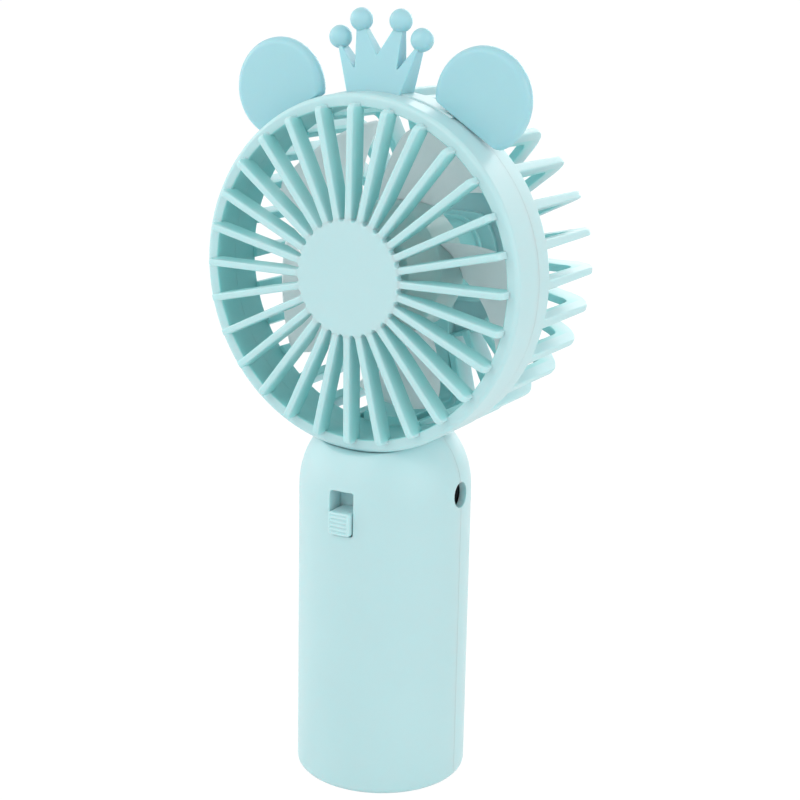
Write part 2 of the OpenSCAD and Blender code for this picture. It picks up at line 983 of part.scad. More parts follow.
// Outer skin of the handle: a straight side with a rounded base edge, under a dome
module handle_skin() {
    rotate_extrude() {
        difference() {
            square([handle_r, dome_z]);
            translate([handle_r - base_round, -past])
                square([base_round + past, base_round + past]);
        }
        translate([handle_r - base_round, base_round])
            circle(base_round);
        intersection() {
            translate([0, dome_z])
                circle(handle_r);
            translate([0, dome_z - past])
                square([handle_r + past, handle_r + 2 * past]);
        }
    }
}

// The hollow of the handle, closed below by the floor and above by the saddle
module handle_hollow() {
    difference() {
        rotate_extrude() {
            translate([0, floor_t])
                square([handle_in, dome_z - floor_t]);
            intersection() {
                translate([0, dome_z])
                    circle(handle_in);
                translate([0, dome_z - past])
                    square([handle_in + past, handle_in + 2 * past]);
            }
        }
        at_head()
            y_rod(ring_r + saddle_gap + handle_wall, -far, far);
    }
}

// One half of the empty handle, front with side -1 or rear with side 1
module handle_half(side) {
    intersection() {
        difference() {
            handle_skin();
            handle_hollow();
            at_head()
                y_rod(ring_r + saddle_gap, -far, far);
            translate([0, neck_y, flange_z[0]])
                cylinder(r = neck_r + snap_gap, h = far);
            translate([0, 0, jack_z])
                x_rod(jack_hole_r, 0, far);
        }
        half_space(side);
    }
}

// Everything in front of or behind the parting plane
module half_space(side) {
    translate([-far, side > 0 ? split_gap / 2 : -split_gap / 2 - 2 * far, -past])
        cube([2 * far, 2 * far, 3 * far]);
}

// Thin floors across the handle with a round cut-out that holds the cell
module cell_ribs(heights) {
    for (z = heights)
        translate([0, 0, z])
            difference() {
                cylinder(r = handle_in + bite, h = rib_plate_t);
                translate([cell_at[0], cell_at[1], -past])
                    cylinder(r = cell_r + cell_slip, h = rib_plate_t + 2 * past);
            }
}

// The four screw places of the handle
module at_screws() {
    for (side = [-1, 1], z = screw_z)
        translate([side * screw_x, 0, z])
            children();
}

// The two screw places of the board
module at_posts() {
    for (side = [-1, 1])
        translate([side * post_x, 0, post_z])
            children();
}

module handle_front_shell() {
    chimney_w = slot_w + 2 * chimney_wall;
    chimney_h = slot_h + 2 * chimney_wall;
    color(mint) difference() {
        union() {
            handle_half(-1);
            intersection() {
                handle_skin();
                union() {
                    translate([-chimney_w / 2, -far, slot_z - chimney_wall])
                        cube([chimney_w, far + chimney_y, chimney_h]);
                    at_screws()
                        y_rod(boss_r, -far, -split_gap / 2);
                    at_posts()
                        y_rod(post_r, -far, board_y - touch);
                    intersection() {
                        cell_ribs(front_rib_z);
                        half_space(-1);
                    }
                }
            }
        }
        translate([-slot_w / 2, -far, slot_z])
            cube([slot_w, far, slot_h]);
        at_screws()
            y_rod(pilot_r, screw_end_y - bite, bite);
        at_posts()
            y_rod(board_hole_r, board_screw_end_y - snap_gap, 0);
        translate([-tab_w / 2, -tab_reach - 2 * lead_d, floor_t])
            cube([tab_w, 2 * lead_d + bite, board_z - floor_t]);
    }
}

module handle_rear_shell() {
    color(mint) difference() {
        union() {
            handle_half(1);
            intersection() {
                handle_skin();
                union() {
                    at_screws()
                        y_rod(tower_r, split_gap / 2, far);
                    intersection() {
                        cell_ribs(rear_rib_z);
                        half_space(1);
                    }
                }
            }
        }
        at_screws() {
            y_rod(screw_r + snap_gap, -past, far);
            y_rod(head_bore_r, screw_head_y[0], far);
        }
    }
}

module handle_screws() {
    color(steel)
        at_screws()
            cross_screw(screw_r, screw_end_y, screw_head_r, screw_head_y);
}

module battery_cell() {
    color(cell_wrap)
        translate(cell_at) {
            cylinder(r = cell_r, h = cell_h);
            cylinder(r = cell_button[0], h = cell_h + cell_button[1]);
        }
}

// Nickel strips: one under the cell, turned up in front of it, and one from its button to the board
module battery_tabs() {
    top_z = cell_at[2] + cell_h + cell_button[1] + touch;
    low_z = cell_at[2] - touch - tab_t;
    color(steel) {
        translate([-tab_w / 2, -tab_reach, low_z])
            cube([tab_w, tab_reach + cell_at[1] + tab_w / 2, tab_t]);
        translate([-tab_w / 2, -tab_reach, low_z])
            cube([tab_w, tab_t, tab_up]);
        translate([-tab_w / 2, board_back_y + touch, top_z])
            cube([tab_w, cell_at[1] + tab_w / 2 - board_back_y, tab_t]);
    }
}

module battery_lead() {
    lead_y = -tab_reach - lead_d / 2 - touch;
    color(lead_red)
        wire([
            [0, lead_y, cell_at[2] + lead_foot[0]],
            [0, lead_y, board_z - lead_foot[0]],
            [0, board_y - lead_d / 2 - touch, board_z + lead_foot[1]]
        ]);
}

module circuit_board() {
    color(board_green) difference() {
        translate([-board[0] / 2, board_y, board_z])
            cube(board);
        at_posts()
            y_rod(board_hole_r + snap_gap, board_y - past, board_back_y + past);
    }
}

// A chip, a coil and a capacitor on the front of the board
module board_components() {
    color(dark_plastic) {
        translate([chip_at[0], board_y - chip[1], chip_at[1]])
            cube(chip);
        translate([coil_drum_at[0], 0, coil_drum_at[1]])
            y_rod(coil_drum[0], board_y - coil_drum[1], board_y);
        translate([capacitor_at[0], 0, capacitor_at[1]])
            y_rod(capacitor[0], board_y - capacitor[1], board_y);
    }
}

module board_screws() {
    color(steel)
        at_posts() {
            y_rod(board_screw_r, board_screw_end_y, board_back_y + board_head_t / 2);
            y_rod(board_head_r, board_back_y + touch, board_back_y + board_head_t);
        }
}

module slide_switch_body() {
    color(steel) difference() {
        translate([-switch_case[0] / 2, board_y - switch_case[1], switch_case_z])
            cube(switch_case);
        translate([-stem_slot[0] / 2, board_y - switch_case[1] - past, stem_z - stem_half - stem_room])
            cube([stem_slot[0], stem_slot[1] + past, stem_slot[2]]);
    }
}

module switch_slider() {
    color(dark_plastic)
        translate([-stem_half, stem_y[0], stem_z - stem_half])
            cube([2 * stem_half, stem_y[1] - stem_y[0], 2 * stem_half]);
}

// Ribbed thumb block on a wider plate that keeps the slot closed, with a fork for the slider
module switch_button() {
    plate_y = chimney_y + plate_gap;
    hole = 2 * (stem_half + stem_slip);
    color(mint) {
        translate([-button_plate[0] / 2, plate_y, button_plate_z])
            cube(button_plate);
        difference() {
            translate([-thumb[0] / 2, plate_y - thumb[1], thumb_z])
                cube([thumb[0], thumb[1] + button_plate[1] / 2, thumb[2]]);
            for (i = [0 : thumb_grooves - 1])
                translate([0, plate_y - thumb[1], thumb_z + (i + 0.5) * thumb[2] / thumb_grooves])
                    x_rod(groove_r, -far, far);
        }
        difference() {
            translate([-fork[0] / 2, plate_y + button_plate[1] / 2, stem_z - fork[2] / 2])
                cube(fork);
            translate([-hole / 2, plate_y + button_plate[1], stem_z - hole / 2])
                cube([hole, far, hole]);
        }
    }
}

module charge_jack() {
    color(dark_plastic)
        difference() {
            union() {
                translate([jack_x, board_back_y + touch, jack_z - jack_body[2] / 2])
                    cube(jack_body);
                translate([0, 0, jack_z])
                    x_rod(jack_nose_r, jack_x + jack_body[0] - bite, jack_nose_x);
            }
            translate([0, 0, jack_z]) {
                x_rod(jack_bore_r, jack_nose_x - jack_bore_len - touch, far);
                x_rod(jack_chamber_r, jack_x + jack_back_t, jack_nose_x - jack_bore_len);
            }
        }
}

module jack_pin() {
    color(steel)
        translate([0, 0, jack_z])
            x_rod(jack_pin_r, jack_pin_x[0], jack_pin_x[1]);
}

// Solder tails behind the jack
module jack_contacts() {
    color(steel)
        for (z = [jack_z - contact_rise, jack_z + contact_rise])
            translate([jack_x - contact[0] - touch, board_back_y + touch, z - contact[2] / 2])
                cube(contact);
}

front_grille();
front_ring();
rear_ring();
rear_cage();
hub_plate();
hub_cover();
hub_screws();
crown_band();
ear_left();
ear_right();
impeller();
motor_shaft();
armature_core();
armature_windings();
commutator();
motor_can();
motor_magnets();
motor_end_cap();
motor_bushes();
motor_brushes();
motor_terminals();
motor_leads();
handle_front_shell();
handle_rear_shell();
handle_screws();
battery_cell();
battery_tabs();
battery_lead();
circuit_board();
board_components();
board_screws();
slide_switch_body();
switch_slider();
switch_button();
charge_jack();
jack_pin();
jack_contacts();
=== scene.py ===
"""Looks of a handheld electric fan with round ears and a crown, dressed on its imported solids.

Lengths are in millimetres until a mesh is made. +Z is up, the fan blows towards -Y, and the base
stands on z = 0.
"""

import json
import logging
import math
from collections.abc import Iterable, Sequence
from dataclasses import dataclass, field, replace
from enum import Enum

import bmesh
import bpy
import numpy as np
from mathutils import Matrix, Vector


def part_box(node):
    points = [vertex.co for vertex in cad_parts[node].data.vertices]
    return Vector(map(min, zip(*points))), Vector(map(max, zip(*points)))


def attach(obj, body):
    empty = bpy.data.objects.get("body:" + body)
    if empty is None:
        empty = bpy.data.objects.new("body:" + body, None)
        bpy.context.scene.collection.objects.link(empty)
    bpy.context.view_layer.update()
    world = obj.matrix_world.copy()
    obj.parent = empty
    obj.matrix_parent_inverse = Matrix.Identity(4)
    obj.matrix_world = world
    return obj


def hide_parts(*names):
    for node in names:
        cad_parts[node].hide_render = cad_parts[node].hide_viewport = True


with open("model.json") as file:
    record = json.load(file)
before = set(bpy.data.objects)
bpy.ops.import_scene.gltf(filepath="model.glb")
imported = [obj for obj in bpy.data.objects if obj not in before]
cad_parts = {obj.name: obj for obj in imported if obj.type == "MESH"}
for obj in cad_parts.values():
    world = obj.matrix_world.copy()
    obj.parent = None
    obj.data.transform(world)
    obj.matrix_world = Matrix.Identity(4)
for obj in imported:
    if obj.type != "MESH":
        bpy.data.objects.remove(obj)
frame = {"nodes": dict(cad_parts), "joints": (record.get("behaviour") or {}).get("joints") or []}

logging.basicConfig(level=logging.INFO, format="%(message)s")
LOG = logging.getLogger("handheld_fan")
Array = np.ndarray
Tree = bpy.types.NodeTree
Socket = bpy.types.NodeSocket
MM = 0.001
WELD = 2e-6
SMOOTH_ANGLE = math.radians(32)
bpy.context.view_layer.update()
FAN_AXIS_Z = next(joint["pos_m"][2] for joint in frame["joints"] if joint["name"] == "fan_spin") / MM
FAN_AXIS = (0.0, FAN_AXIS_Z)
RING_INNER_R = 38.9


class Body(Enum):
    """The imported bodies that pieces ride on."""

    FAN = "fan_body"
    ROTOR = "rotor"
    SWITCH = "switch"


class Relief(Enum):
    """What the fine relief of a surface looks like."""

    GRAIN = "fine grain, or drawn lines where it is stretched"
    TURNS = "turns of wire or stacked sheets"


class Turn(Enum):
    """The axis that a profile is turned about."""

    FAN = "the fan's axis, along Y"
    UPRIGHT = "an upright axis, along Z"


def linear(colour: str) -> tuple[float, float, float, float]:
    """Turns an sRGB hex colour into linear RGBA.

    Args:
        colour: Six hex digits after a hash.

    Returns:
        Red, green, blue and alpha.
    """
    level = np.array([int(colour[i : i + 2], 16) for i in (1, 3, 5)]) / 255
    level = np.where(level <= 0.04045, level / 12.92, ((level + 0.055) / 1.055) ** 2.4)
    return (*level.tolist(), 1.0)


def add_node(tree: Tree, kind: str, inputs: dict | None = None, **settings: str) -> bpy.types.Node:
    """Adds a shader node, with its settings, input values and links.

    Args:
        tree: The material's or world's node tree.
        kind: The node's type, without its ShaderNode prefix.
        inputs: For each input's name or number, a value or the output that feeds it.
        settings: Properties of the node itself.

    Returns:
        The node.
    """
    node = tree.nodes.new("ShaderNode" + kind)
    for name, value in settings.items():
        setattr(node, name, value)
    for key, value in (inputs or {}).items():
        if isinstance(value, Socket):
            tree.links.new(value, node.inputs[key])
        else:
            node.inputs[key].default_value = value
    return node


def emptied(owner: bpy.types.Material | bpy.types.World) -> Tree:
    """Turns on the nodes of a material or world and empties its node tree.

    Args:
        owner: The material or world.

    Returns:
        The empty node tree.
    """
    owner.use_nodes = True
    owner.node_tree.nodes.clear()
    return owner.node_tree


def in_scene(name: str, data: bpy.types.ID) -> bpy.types.Object:
    """Makes an object at the origin and links it to the scene.

    Args:
        name: The object's name.
        data: Its mesh, lamp or camera.

    Returns:
        The new object.
    """
    made = bpy.data.objects.new(name, data)
    bpy.context.scene.collection.objects.link(made)
    return made


def scatter(weight: float, *radius: float) -> tuple[tuple[str, float | tuple[float, ...]], ...]:
    """Settings of a plastic that light goes into.

    Args:
        weight: Share of the light that goes in.
        radius: How far red, green and blue light spreads, in millimetres.

    Returns:
        Names and values of the shader's inputs.
    """
    return ("Subsurface Weight", weight), ("Subsurface Scale", MM), ("Subsurface Radius", radius)


@dataclass(frozen=True)
class Finish:
    """One material: what it is, and how its surface was made."""

    name: str
    slot: str
    colour: str
    tint: str
    roughness: float
    spread: float = 0.04
    metallic: float = 0.0
    ior: float = 1.5
    relief: Relief = Relief.GRAIN
    relief_mm: float = 0.4
    depth_mm: float = 0.004
    mottle_mm: float = 14.0
    stretch: tuple[float, float, float] = (1.0, 1.0, 1.0)
    extras: tuple[tuple[str, float | tuple[float, ...]], ...] = ()
    # inner is the colour of painted shade inside the head; inner_r, inner_front and inner_back bound where it
    # is painted.
    inner: str = ""
    inner_r: tuple[float, float] = (RING_INNER_R + 0.3, RING_INNER_R + 0.05)
    inner_front: tuple[float, float] = (-19.4, -17.2)
    inner_back: tuple[float, float] = (27.0, 23.0)

    def painted_inner_shade(self, tree: Tree, place: Socket, tone: Socket) -> Socket:
        """Paints shade into the colour of walls inside the head, within a radius and between two depths.

        Each of inner_r, inner_front and inner_back says where the painted shade begins and where it is full.

        Args:
            tree: The material's node tree.
            place: The object coordinates.
            tone: The colour elsewhere.

        Returns:
            The colour all over.
        """
        across = add_node(tree, "VectorMath", {0: place, 1: (1, 0, 1)}, operation="MULTIPLY").outputs[0]
        axis = (0, 0, FAN_AXIS_Z * MM)
        far = add_node(tree, "VectorMath", {0: across, 1: axis}, operation="DISTANCE").outputs["Value"]
        depth = add_node(tree, "SeparateXYZ", {0: place}).outputs[1]
        share: Socket | float = 1.0
        for value, (none, full) in ((far, self.inner_r), (depth, self.inner_front), (depth, self.inner_back)):
            ends = {1: none * MM, 2: full * MM, 3: 0.0, 4: 1.0}
            ramp = add_node(tree, "MapRange", {"Value": value, **ends}).outputs[0]
            share = add_node(tree, "Math", {0: ramp, 1: share}, operation="MULTIPLY").outputs[0]
        return add_node(tree, "Mix", {0: share, 6: tone, 7: linear(self.inner)}, data_type="RGBA").outputs[2]

    def material(self) -> bpy.types.Material:
        """Makes the material once and hands it back after that.

        Large soft noise shifts the colour a little, and where inner is set, shade is painted into the colour
        inside the head. Fine noise, or bands where the surface has turns or sheets, gives the relief and
        shifts the roughness.

        Returns:
            The node material.
        """
        made = bpy.data.materials.get(self.name)
        if made:
            return made
        made = bpy.data.materials.new(self.name)
        made.diffuse_color = linear(self.colour)
        tree = emptied(made)
        place = add_node(tree, "TexCoord").outputs["Object"]
        stretched = add_node(tree, "Mapping", {"Vector": place, "Scale": self.stretch}).outputs[0]
        large, small = 1 / (self.mottle_mm * MM), 1 / (self.relief_mm * MM)
        mottle = add_node(tree, "TexNoise", {"Vector": place, "Scale": large, "Detail": 3.0}).outputs["Fac"]
        if self.relief is Relief.TURNS:
            # One band of the wave spans a twentieth of a full turn, 0.314 of its unit.
            fine = add_node(tree, "TexWave", {"Vector": stretched, "Scale": 0.314 * small})
        else:
            fine = add_node(tree, "TexNoise", {"Vector": stretched, "Scale": small, "Detail": 2.0})
        height = fine.outputs["Fac"]
        colours = {0: mottle, 6: linear(self.colour), 7: linear(self.tint)}
        tone = add_node(tree, "Mix", colours, data_type="RGBA").outputs[2]
        # Painted shade: inside the head the colour is mixed towards a deeper teal.
        if self.inner:
            tone = self.painted_inner_shade(tree, place, tone)
        ends = {3: self.roughness - self.spread, 4: self.roughness + self.spread}
        gloss = add_node(tree, "MapRange", {"Value": height, **ends})
        bump = add_node(tree, "Bump", {"Height": height, "Strength": 0.6, "Distance": self.depth_mm * MM})
        surface = {
            "Base Color": tone,
            "Roughness": gloss.outputs[0],
            "Normal": bump.outputs[0],
            "Metallic": self.metallic,
            "IOR": self.ior,
            **dict(self.extras),
        }
        shader = add_node(tree, "BsdfPrincipled", surface)
        add_node(tree, "OutputMaterial", {"Surface": shader.outputs[0]})
        return made


# Moulded ABS: satin from a spark-eroded mould, a soft broad highlight. The real grit is about 0.08 mm,
# drawn at 0.35 mm because finer grain is lost at this size of picture.
MINT_ABS = Finish(
    "mint_moulded_abs", "mint_abs", "#BFE1E4", "#BBDEE1", 0.42, ior=1.53, relief_mm=0.35,
    extras=scatter(0.55, 0.7, 1.8, 1.8),
)
# The head of the same resin, with painted shade: inside the head its colour is painted a deeper teal, in
# place of the shade that falls where light comes only through or off other walls.
HEAD_ABS_PAINTED_SHADE = replace(MINT_ABS, name="mint_moulded_abs_head_painted_shade", inner="#A4E0E0")
# The same resin in a deeper colour, moulded a little smoother.
TEAL_ABS = Finish(
    "teal_moulded_abs", "teal_abs", "#A5D6DE", "#A1D3DC", 0.4, ior=1.53, relief_mm=0.35,
    extras=scatter(0.4, 0.4, 1.5, 2.0),
)
# Frosted polypropylene: pale, lets light through and scatters it, so edges and far blades show softly.
FROSTED_PP = Finish(
    "frosted_polypropylene", "frosted_plastic", "#F7F6FD", "#F2F1FA", 0.3, ior=1.49,
    extras=(("Transmission Weight", 0.1), *scatter(1.0, 4.0, 4.0, 4.0)),
)
# The hub of the same plastic, with painted light: its colour is painted mint, standing in for the light of
# the mint motor cup that shows through its thin wall.
FROSTED_HUB_PAINTED_MINT = replace(
    FROSTED_PP, name="frosted_polypropylene_hub_painted_mint", colour="#C6E4E1", tint="#C2E0DD",
    extras=(("Transmission Weight", 0.1), *scatter(1.0, 2.0, 4.0, 4.0)),
)
# Zinc-plated steel screws: bright, slightly blue, with a fine grain.
ZINC_STEEL = Finish("zinc_plated_steel", "zinc_steel", "#C9CDD2", "#BFC4CA", 0.3, metallic=1.0, relief_mm=0.2)
# Ground steel shaft: fine lines round it, near mirror.
GROUND_STEEL = Finish(
    "ground_steel", "polished_steel", "#D4D6D8", "#CBCED1", 0.2, metallic=1.0,
    stretch=(0.1, 4.0, 0.1),
)
# Drawn steel can: deep-drawn lines along its length.
DRAWN_STEEL = Finish(
    "drawn_steel_can", "polished_steel", "#C6C9CC", "#BBBFC3", 0.28, metallic=1.0,
    stretch=(3.0, 0.1, 3.0),
)
# Silicon steel sheets, 0.5 mm each, stacked along the shaft: dull grey bands.
LAMINATION = Finish(
    "stacked_silicon_steel", "lamination_steel", "#7E8286", "#74787C", 0.45, metallic=1.0,
    relief=Relief.TURNS, relief_mm=0.5, depth_mm=0.05, stretch=(0.0, 1.0, 0.0),
)
# Enamelled copper wire, 0.25 mm thick, wound in turns: warm, glossy varnish.
COIL_WIRE = Finish(
    "enamelled_copper_wire", "enamelled_copper", "#B5622F", "#A65525", 0.3, metallic=0.9,
    relief=Relief.TURNS, relief_mm=0.25, depth_mm=0.06,
)
# Turned copper bars of the commutator and the brush leaves: bare, bright, slightly worn.
BARE_COPPER = Finish("turned_copper", "copper", "#C98A5A", "#BD7C4C", 0.32, metallic=1.0)
# Sintered ferrite magnets: dark grey, matt, slightly pitted.
FERRITE = Finish("sintered_ferrite", "ferrite", "#3A3B3E", "#323336", 0.7, relief_mm=0.5, depth_mm=0.02)
# Black nylon: moulded, matt, faintly fibrous from its glass filling.
BLACK_NYLON = Finish("glass_filled_nylon", "black_nylon", "#2A2C2F", "#24262A", 0.5, depth_mm=0.01)
# Oil-soaked sintered bronze: brown, fine pores.
BRONZE = Finish(
    "sintered_bronze", "sintered_bronze", "#9C7A4E", "#8C6C44", 0.45, metallic=1.0,
    relief_mm=0.3, depth_mm=0.02,
)
# Tinned brass blades: pale silver with a yellow cast.
TINNED_BRASS = Finish("tinned_brass", "tinned_brass", "#CFCBBE", "#C6C0AE", 0.3, metallic=1.0)
# PVC-covered wire: smooth, waxy.
RED_PVC = Finish("red_pvc_cover", "red_lead", "#B8332C", "#AE2E28", 0.35, relief_mm=0.8)
BLACK_PVC = Finish("black_pvc_cover", "black_lead", "#26272A", "#212225", 0.35, relief_mm=0.8)
# Shrunk PVC sleeve of the cell: glossy, with slight ripples.
CELL_SLEEVE = Finish(
    "shrunk_pvc_sleeve", "cell_sleeve", "#3F7FB5", "#3A78AD", 0.28, relief_mm=3.0, depth_mm=0.03,
)
# Nickel strip, rolled: bright, slightly warm.
NICKEL = Finish("rolled_nickel", "nickel_strip", "#C8C6C0", "#BEBCB5", 0.3, metallic=1.0)
# Fibreglass board under a green mask: weave shows faintly through the lacquer.
GREEN_BOARD = Finish(
    "masked_fibreglass", "green_board", "#2F6B45", "#2A6340", 0.3, relief_mm=0.6, depth_mm=0.01,
)
# Nickel-plated pin of the jack: polished.
PLATED_PIN = Finish("nickel_plated_pin", "nickel_pin", "#D2D0CA", "#C9C7C0", 0.22, metallic=1.0)

CARRIED_NODES = {
    "hub_cover": MINT_ABS,
    "hub_screws": ZINC_STEEL,
    "motor_shaft": GROUND_STEEL,
    "armature_core": LAMINATION,
    "armature_windings": COIL_WIRE,
    "commutator": BARE_COPPER,
    "motor_can": DRAWN_STEEL,
    "motor_magnets": FERRITE,
    "motor_end_cap": BLACK_NYLON,
    "motor_bushes": BRONZE,
    "motor_brushes": BARE_COPPER,
    "motor_terminals": TINNED_BRASS,
    "motor_leads": RED_PVC,
    "handle_screws": ZINC_STEEL,
    "battery_cell": CELL_SLEEVE,
    "battery_tabs": NICKEL,
    "battery_lead": BLACK_PVC,
    "circuit_board": GREEN_BOARD,
    "board_components": BLACK_NYLON,
    "board_screws": ZINC_STEEL,
    "slide_switch_body": DRAWN_STEEL,
    "switch_slider": BLACK_NYLON,
    "charge_jack": BLACK_NYLON,
    "jack_pin": PLATED_PIN,
    "jack_contacts": TINNED_BRASS,
}


def box_mm(node: str) -> tuple[Array, Array]:
    """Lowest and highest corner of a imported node, in millimetres."""
    low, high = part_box(node)
    return np.array(low) / MM, np.array(high) / MM


def unit(vectors: Array) -> Array:
    """Scales vectors along the last axis to length 1, leaving zero vectors as they are."""
    return vectors / np.maximum(np.linalg.norm(vectors, axis=-1, keepdims=True), 1e-9)


def between(breaks: Sequence[float], step: float) -> Array:
    """Numbers from the first break to the last that meet every break and are at most a step apart.

    Args:
        breaks: Rising values that must be met.
        step: Largest distance between neighbours.

    Returns:
        The rising numbers.
    """
    runs = [np.linspace(a, b, max(2, math.ceil((b - a) / step) + 1))[:-1] for a, b in zip(breaks, breaks[1:])]
    return np.concatenate([*runs, [breaks[-1]]])


def eased_least(first: Array | float, second: Array, ease: float) -> Array:
    """The smaller of two lengths, eased where they meet: (a + b - sqrt((a - b)^2 + e)) / 2.

    Args:
        first: The lengths a.
        second: The lengths b.
        ease: The number e, in square millimetres.

    Returns:
        The eased lengths.
    """
    return (first + second - np.sqrt((first - second) ** 2 + ease)) / 2


def edge_drop(away: Array, edge: float) -> Array:
    """How far a face drops near a rounded edge.

    Args:
        away: Distance from the edge.
        edge: Radius of the rounding.

    Returns:
        The drop of a quarter round, 0 past its radius.
    """
    return edge - np.sqrt(np.clip(edge**2 - np.clip(edge - away, 0, None) ** 2, 0, None))


def looped(path: Array) -> Array:
    """Repeats a path's first point at its end."""
    return np.concatenate([path, path[:1]])


def filleted(corners: Sequence[tuple[float, float, float]], steps: int = 5) -> Array:
    """A path in a plane whose corners are arcs that touch both sides.

    A corner of half-angle h and radius r gives up r / tan h of each side, and its arc turns about the
    point r / sin h along the corner's bisector. A corner of radius 0 stays as it is.

    Args:
        corners: (x, y, radius) of each corner; the ends of an open path have radius 0.
        steps: Pieces of each arc.

    Returns:
        The points in order.
    """
    table = np.asarray(corners, float)
    points, radius = table[:, :2], table[:, 2]
    before = unit(np.roll(points, 1, 0) - points)
    after = unit(np.roll(points, -1, 0) - points)
    half = np.clip(np.arccos(np.clip((before * after).sum(-1), -1, 1)) / 2, 1e-4, None)
    centre = points + unit(before + after) * (radius / np.sin(half))[:, None]
    start = points + before * (radius / np.tan(half))[:, None] - centre
    side = np.sign(before[:, 1] * after[:, 0] - before[:, 0] * after[:, 1])
    turn = (side * (np.pi - 2 * half))[:, None] * np.linspace(0, 1, steps + 1)
    angle = np.arctan2(start[:, 1], start[:, 0])[:, None] + turn
    arcs = centre[:, None] + radius[:, None, None] * np.stack([np.cos(angle), np.sin(angle)], -1)
    path = arcs.reshape(-1, 2)
    apart = np.linalg.norm(np.diff(path, axis=0), axis=-1) > 1e-5
    return path[np.concatenate([[True], apart])]


def turned(
    profile: Array, centre: tuple[float, float], axis: Turn, steps: int, span: tuple[float, float] = (0, 360)
) -> Array:
    """Turns a profile of (radius, place along the axis) about an axis.

    Each point goes round a circle of its radius: radius x cos a and radius x sin a across the axis.

    Args:
        profile: The profile's points.
        centre: Where the axis stands: (x, z) for the fan's axis, (x, y) for an upright one.
        axis: Which axis.
        steps: Number of steps round.
        span: First and last angle in degrees.

    Returns:
        A grid of points, one row for each point of the profile.
    """
    angle = np.radians(np.linspace(*span, steps + 1))
    first = centre[0] + profile[:, :1] * np.cos(angle)
    second = centre[1] + profile[:, :1] * np.sin(angle)
    along = np.broadcast_to(profile[:, 1:], first.shape)
    return np.stack([first, along, second] if axis is Turn.FAN else [first, second, along], -1)


def bar(
    front: Array, inward: Array, depth: Array, width: Array, rounds: tuple[float, float], steps: int = 4
) -> Array:
    """A bar with a rounded rectangle for its section, along a path in the (radius, y) plane.

    Point (u, v) is front(u) + inward(u) x d(u, v), with w(u, v) to the side. Four corner arcs make the
    loop v: at each, w = sign x (width / 2 - r) + r cos t and d = base - r sin t.

    Args:
        front: Path of the middle of the bar's front face.
        inward: Unit direction from the front face to the back face at each point.
        depth: Depth of the bar at each point.
        width: Width of the bar at each point.
        rounds: Corner radius at the front and at the back.
        steps: Points on each corner arc.

    Returns:
        A grid of (radius, y, side) points.
    """
    turn = np.concatenate([np.linspace(a, a + 90, steps) for a in (0, 90, 180, 270)])
    turn = np.radians(np.append(turn, turn[0]))
    sign = np.append(np.repeat([1, -1, -1, 1], steps), 1)
    at_back = np.append(np.repeat([0, 0, 1, 1], steps), 0)
    radius = np.where(at_back, rounds[1], rounds[0])
    side = sign * (width[:, None] / 2 - radius) + radius * np.cos(turn)
    drop = np.where(at_back, depth[:, None] - radius, radius) - radius * np.sin(turn)
    flat = front[:, None] + inward[:, None] * drop[..., None]
    return np.concatenate([flat, side[..., None]], -1)


def round_fan(local: Array, angle: float) -> Array:
    """Carries points of (radius, y, side) to an angle round the fan's axis.

    x = r cos a - w sin a and z = r sin a + w cos a.

    Args:
        local: Points in the rib's own plane.
        angle: Angle in degrees, from +X towards +Z.

    Returns:
        The points in space.
    """
    radius, y, side = np.moveaxis(local, -1, 0)
    c, s = math.cos(math.radians(angle)), math.sin(math.radians(angle))
    return np.stack([radius * c - side * s, y, FAN_AXIS_Z + radius * s + side * c], -1)


def ball(centre: Sequence[float], radius: float, steps: int = 32) -> Array:
    """A sphere as a grid of latitudes and longitudes about an upright axis.

    Args:
        centre: The sphere's middle.
        radius: The sphere's radius.
        steps: Number of steps round.

    Returns:
        A grid of points, one row for each latitude.
    """
    high = np.linspace(-np.pi / 2, np.pi / 2, steps // 2 + 1)[:, None]
    turn = np.linspace(0, 2 * np.pi, steps + 1)
    around = [np.cos(high) * np.cos(turn), np.cos(high) * np.sin(turn), np.sin(high) + 0 * turn]
    return np.asarray(centre) + radius * np.stack(around, -1)


